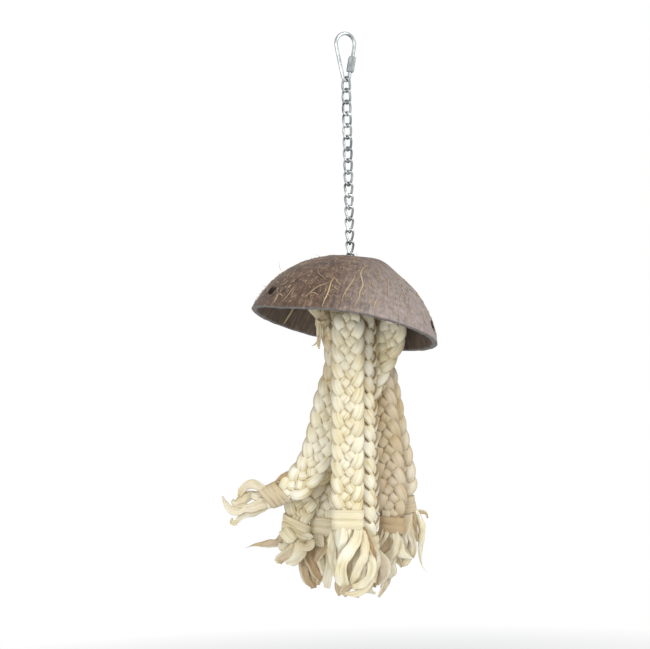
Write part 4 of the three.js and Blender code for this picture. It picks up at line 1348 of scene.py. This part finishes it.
# %% Holes
def drill(bm, diameter, length, at, way):
    """A drill bit, to be taken away from the shell."""
    place = Matrix.Translation(at * MM) @ way.to_track_quat("Z", "Y").to_matrix().to_4x4()
    radius = diameter / 2 * MM
    size = {"segments": DRILL_SIDES, "radius1": radius, "radius2": radius, "depth": length * MM}
    bmesh.ops.create_cone(bm, cap_ends=True, matrix=place, **size)


bm = bmesh.new()
drill(bm, CROWN_HOLE, ball, Vector((0, 0, crown_z)), Vector((0, 0, 1)))
up = rim_drop + SIDE_HOLE_RISE
out = math.sqrt(ball**2 - up**2)
for turn in SIDE_HOLE_TURNS:
    angle = math.radians(turn)
    way = tilt @ Vector((out * math.sin(angle), -out * math.cos(angle), up)).normalized()
    drill(bm, SIDE_HOLE, SHELL_WALL * DRILL_WALLS, shell_centre + way * ball, way)
for face in bm.faces:
    face.material_index = DRILLED
bits_mesh = bpy.data.meshes.new("drill_bits")
bm.to_mesh(bits_mesh)
bm.free()
for material in finishes:
    bits_mesh.materials.append(material)
bits = bpy.data.objects.new("drill_bits", bits_mesh)
bpy.context.scene.collection.objects.link(bits)
drilling = shell.modifiers.new("drilling", "BOOLEAN")
drilling.object = bits
drilling.operation = "DIFFERENCE"
drilling.solver = "EXACT"
bpy.context.view_layer.update()
drilled = bpy.data.meshes.new_from_object(shell.evaluated_get(bpy.context.evaluated_depsgraph_get()))
shell.modifiers.clear()
shell.data = drilled
bpy.data.objects.remove(bits)
print(f"{len(drilled.polygons)} faces after drilling")

# %% [markdown]
# ## Fibres on the shell
# Tan fibres of the husk still cling to the shell. The long ones were traced on the photograph: a width,
# how grey it is, and the pixels it goes through. Each is dropped straight back onto the ball, so that it
# sits on the shell. A few stray hairs stand off its outline. The rest are short flecks, spread by a seeded
# chance. A hair system could grow them all, but the traced ones lie where the photograph has them.

# %% Traced fibres
OUTSIDE_FIBRES = [
    (1.1, 0, (333.9, 278.1), (330.6, 284.7), (328.2, 293.2), (325.1, 299.9), (322.4, 306.5)),
    (0.8, 0, (333.9, 278.7), (336.6, 282.3), (340.3, 286.8)),
    (0.8, 0.55, (328.8, 284.1), (321.5, 286.5), (315.4, 289.6), (310.6, 293.8), (305.7, 298.7)),
    (0.6, 0.5, (317.9, 270.8), (319.1, 275), (322.7, 278.1), (326.3, 281.7)),
    (0.8, 0.2, (280.3, 294.4), (277.9, 298.7), (275.1, 303.5)),
    (0.8, 0.3, (299.7, 268.1), (304.5, 265), (308.8, 262.3)),
    (0.6, 0.4, (291.8, 272.9), (288.8, 276.2), (288.2, 278.7)),
    (0.8, 0, (288.8, 288.7), (292.4, 285.9)),
    (0.6, 0.1, (280.3, 293.8), (283.9, 296.8)),
    (0.6, 0.3, (281.5, 285.9), (286.4, 284.7), (288.8, 282)),
    (0.6, 0.1, (290, 302.9), (293.3, 300.5)),
    (0.6, 0.4, (282.7, 302.9), (287.6, 298), (292.4, 291.4), (294.8, 288.4)),
    (0.6, 0.3, (310.6, 293.8), (314.8, 293.8), (317.9, 296.2)),
    (0.6, 0.3, (333, 288.4), (338.5, 291.4)),
    (0.8, 0.15, (354.1, 276.8), (353.4, 279.5), (349.7, 285.5), (345.7, 291.5), (343, 296.2),
     (341.4, 300.2)),
    (0.9, 0.05, (367.2, 266.1), (363.8, 268.4), (361.1, 271.4), (359.8, 274.8), (360.5, 280.1),
     (361.5, 284.2), (361.5, 287.5), (358.8, 292.9), (357.8, 298.2), (355.1, 303.6), (353.1, 308.3)),
    (0.7, 0.45, (376.5, 269.4), (378.2, 275.4), (378.5, 279.5), (377.5, 283.5)),
    (0.6, 0.5, (371.2, 281.5), (370.8, 286.8)),
    (0.6, 0.55, (369.8, 296.2), (367.8, 300.2), (366.8, 304.9)),
    (0.8, 0.1, (376.2, 298.2), (373.8, 302.9), (371.5, 309.6)),
    (0.6, 0.3, (381.2, 300.9), (377.9, 304.2), (375.2, 307.6)),
    (0.7, 0.25, (386.6, 277.5), (386.2, 284.2), (386.6, 291.5), (385.9, 298.2)),
    (0.8, 0, (395.6, 313), (393.9, 315.6)),
    (0.7, 0.15, (406.7, 310.9), (405.3, 316.3), (404, 320.3)),
    (0.7, 0, (410, 310.3), (408.7, 312.3)),
    (0.6, 0.3, (402, 290.2), (399.3, 296.2), (397.3, 300.2)),
    (0.5, 0.35, (364.5, 292.2), (361.1, 296.2)),
    (0.5, 0.45, (392.6, 272.1), (395.3, 280.1)),
    (0.5, 0.45, (407.3, 298.2), (406.7, 304.2), (406, 309.6)),
    (0.5, 0.4, (355.1, 260), (351.7, 263.4)),
]
INSIDE_FIBRES = [
    (1.7, 0.1, (293.3, 305.9), (291.2, 310.2), (287.6, 316.2), (282.7, 324.1)),
]
HAIRS = [
    [(282.7, 271.4), (280.3, 269), (279.7, 265.9), (280.3, 262.6)],
    [(320.9, 258.7), (318.5, 256.2), (315.1, 254.4)],
    [(266.4, 286.8), (264.8, 286.2), (263, 285.9)],
    [(357.2, 257.4), (356.6, 254.7), (355.8, 252.7)],
    [(276.7, 275.6), (278, 274.5), (278.5, 273.8)],
]
print(f"{len(OUTSIDE_FIBRES) + len(INSIDE_FIBRES)} fibres and {len(HAIRS)} hairs traced")

# %% Fibres
FIBRE_OFF = 0.25
FIBRE_TIP = 0.35
FIBRE_FLAT = 0.6
FIBRE_END = 0.04
FIBRE_SIDES = 6
FIBRE_STEP = 1.2
FIBRE_LEAST_STEPS = 4
FIBRE_ROUND = 2
HAIR_WIDTH = 0.35
HAIR_GREY = 0.6
FLECKS = 1100
FLECK_SEED = 7
FLECK_LENGTH = (0.9, 3)
FLECK_WIDTH = (0.3, 0.6)
FLECK_GREY = (0.1, 0.9)
FLECK_SKEW = 0.7
FLECK_OFF = 0.15
FLECK_RIM = 0.06


def on_ball(px, py, radius, far):
    """The point of the ball seen at a pixel, on its near or far side."""
    x, z = photo_point(px, py)
    flat = radius**2 - (x - shell_centre.x) ** 2 - (z - shell_centre.z) ** 2
    deep = math.sqrt(max(flat, 0))
    return Vector((x, shell_centre.y + (deep if far else -deep), z))


def fibre(bm, spots, wide, grey, radius=None):
    """A thin thread through points, pressed onto a ball of the radius if one is given."""
    line, long = walk(spots)

    def laid(v):
        if radius is None:
            return line(v)
        return shell_centre + (line(v) - shell_centre).normalized() * radius

    def thread(u, v):
        a = 2 * math.pi * u
        belly = math.sin(math.pi * min(max(v, FIBRE_END), 1 - FIBRE_END))
        thin = wide / 2 * (FIBRE_TIP + (1 - FIBRE_TIP) * belly)
        return thin * math.cos(a), FIBRE_FLAT * thin * math.sin(a)

    steps = max(round(long / FIBRE_STEP), FIBRE_LEAST_STEPS)
    size = (FIBRE_ROUND, long)
    sweep(bm, laid, lambda v: laid(v) - shell_centre, thread, FIBRE_SIDES, steps, size, tone=grey)


bm = bmesh.new()
for wide, grey, *pixels in OUTSIDE_FIBRES:
    fibre(bm, [on_ball(px, py, ball, False) for px, py in pixels], wide, grey, ball + FIBRE_OFF)
for wide, grey, *pixels in INSIDE_FIBRES:
    fibre(bm, [on_ball(px, py, hollow, True) for px, py in pixels], wide, grey, hollow - FIBRE_OFF)
for pixels in HAIRS:
    fibre(bm, [on_ball(px, py, ball, False) for px, py in pixels], HAIR_WIDTH, HAIR_GREY)
chance = random.Random(FLECK_SEED)
for _ in range(FLECKS):
    turn = chance.uniform(0, 2 * math.pi)
    drop = math.acos(1 - chance.random() * (1 - math.cos(outer_turn - FLECK_RIM)))
    spot = Vector((math.sin(drop) * math.cos(turn), math.sin(drop) * math.sin(turn), math.cos(drop)))
    down = Vector((math.cos(drop) * math.cos(turn), math.cos(drop) * math.sin(turn), -math.sin(drop)))
    skew = chance.gauss(0, FLECK_SKEW)
    way = down * math.cos(skew) + spot.cross(down) * math.sin(skew)
    half = chance.uniform(*FLECK_LENGTH) / 2
    ends = [shell_centre + tilt @ (spot * ball + way * (half * side)) for side in (-1, 0, 1)]
    fibre(bm, ends, chance.uniform(*FLECK_WIDTH), chance.uniform(*FLECK_GREY), ball + FLECK_OFF)
piece("shell_fibres", bm, [shell_fibre], "shell", [])
print(f"fibres, hairs and {FLECKS} flecks laid")

# %% [markdown]
# ## Floor, backdrop and light
# The toy hangs in front of plain white. The round floor lies below it, takes its shadow and fades to white
# at its edge. The world is white where the camera or a mirror sees it, and softer as a light. A large key
# lamp stands to the right and a weaker one to the left, as the lit right side of the shell shows. A white
# room would do too, but its corners would show from other sides.

# %% Studio
FLOOR_DROP = 60
FLOOR_NEAR = 0.16
FLOOR_EDGE = 0.42
FLOOR_SIDES = 96
FLOOR_ROUGH = 0.9
FLOOR_COLOUR = "#F4F4F2"
WORLD_COLOUR = "#F4F6FA"
WORLD_STRENGTH = 0.56
LAMP_SIZE = 0.9
LAMP_AIM = Vector((0, 0, -0.2))
KEY_POWER = 14.5
KEY_AT = Vector((1.15, -0.85, 0.65))
FILL_POWER = 9.3
FILL_AT = Vector((-0.5, -1.4, -0.1))


def seen_white(tree, kind, lit, share=None):
    """Mixes plain white, for what the camera and mirrors see, with what lights the rest."""
    path = add(tree, "ShaderNodeLightPath").outputs
    seen = calculate(tree, "MAXIMUM", path["Is Camera Ray"], path["Is Glossy Ray"])
    seen = calculate(tree, "MAXIMUM", seen, path["Is Transmission Ray"])
    if share is not None:
        seen = calculate(tree, "MULTIPLY", seen, share)
    white = add(tree, kind, {"Color": (1, 1, 1, 1), "Strength": 1})
    return add(tree, "ShaderNodeMixShader", {0: seen, 1: lit.outputs[0], 2: white.outputs[0]}).outputs[0]


world = bpy.data.worlds.new("studio")
bpy.context.scene.world = world
world.use_nodes = True
sky = world.node_tree
sky.nodes.clear()
soft_light = add(sky, "ShaderNodeBackground", {"Color": linear(WORLD_COLOUR), "Strength": WORLD_STRENGTH})
add(sky, "ShaderNodeOutputWorld", {"Surface": seen_white(sky, "ShaderNodeBackground", soft_light)})

floor_material, floor_tree, floor_shader = new_material("pale floor")
floor_shader.inputs["Base Color"].default_value = linear(FLOOR_COLOUR)
floor_shader.inputs["Roughness"].default_value = FLOOR_ROUGH
spot = add(floor_tree, "ShaderNodeTexCoord").outputs["Object"]
far = add(floor_tree, "ShaderNodeVectorMath", {0: spot}, operation="LENGTH").outputs["Value"]
fade = add(floor_tree, "ShaderNodeMapRange", {"Value": far, 1: FLOOR_NEAR, 2: FLOOR_EDGE})
floor_seen = seen_white(floor_tree, "ShaderNodeEmission", floor_shader, fade.outputs["Result"])
floor_tree.links.new(floor_seen, floor_tree.nodes["Material Output"].inputs["Surface"])
bm = bmesh.new()
bmesh.ops.create_circle(bm, cap_ends=True, segments=FLOOR_SIDES, radius=FLOOR_EDGE)
floor_mesh = bpy.data.meshes.new("floor")
bm.to_mesh(floor_mesh)
bm.free()
floor_mesh.materials.append(floor_material)
floor = bpy.data.objects.new("floor", floor_mesh)
bpy.context.scene.collection.objects.link(floor)
floor.location = (0, 0, solid_box[0][2] - FLOOR_DROP * MM)
floor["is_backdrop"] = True


def lamp(name, power, at):
    """A square soft box that faces the middle of the toy."""
    data = bpy.data.lights.new(name, "AREA")
    data.energy = power
    data.size = LAMP_SIZE
    obj = bpy.data.objects.new(name, data)
    bpy.context.scene.collection.objects.link(obj)
    obj.location = at
    obj.rotation_euler = (LAMP_AIM - at).to_track_quat("-Z", "Y").to_euler()


lamp("key", KEY_POWER, KEY_AT)
lamp("fill", FILL_POWER, FILL_AT)
print("studio lit")

# %% [markdown]
# ## Finish
# The box of the dressed toy is kept beside the box of the solids, so the two can be compared.

# %% Finish
boxes = {"solids": solid_box, "dressed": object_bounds()}
{key: [list(corner) for corner in value] for key, value in boxes.items()}
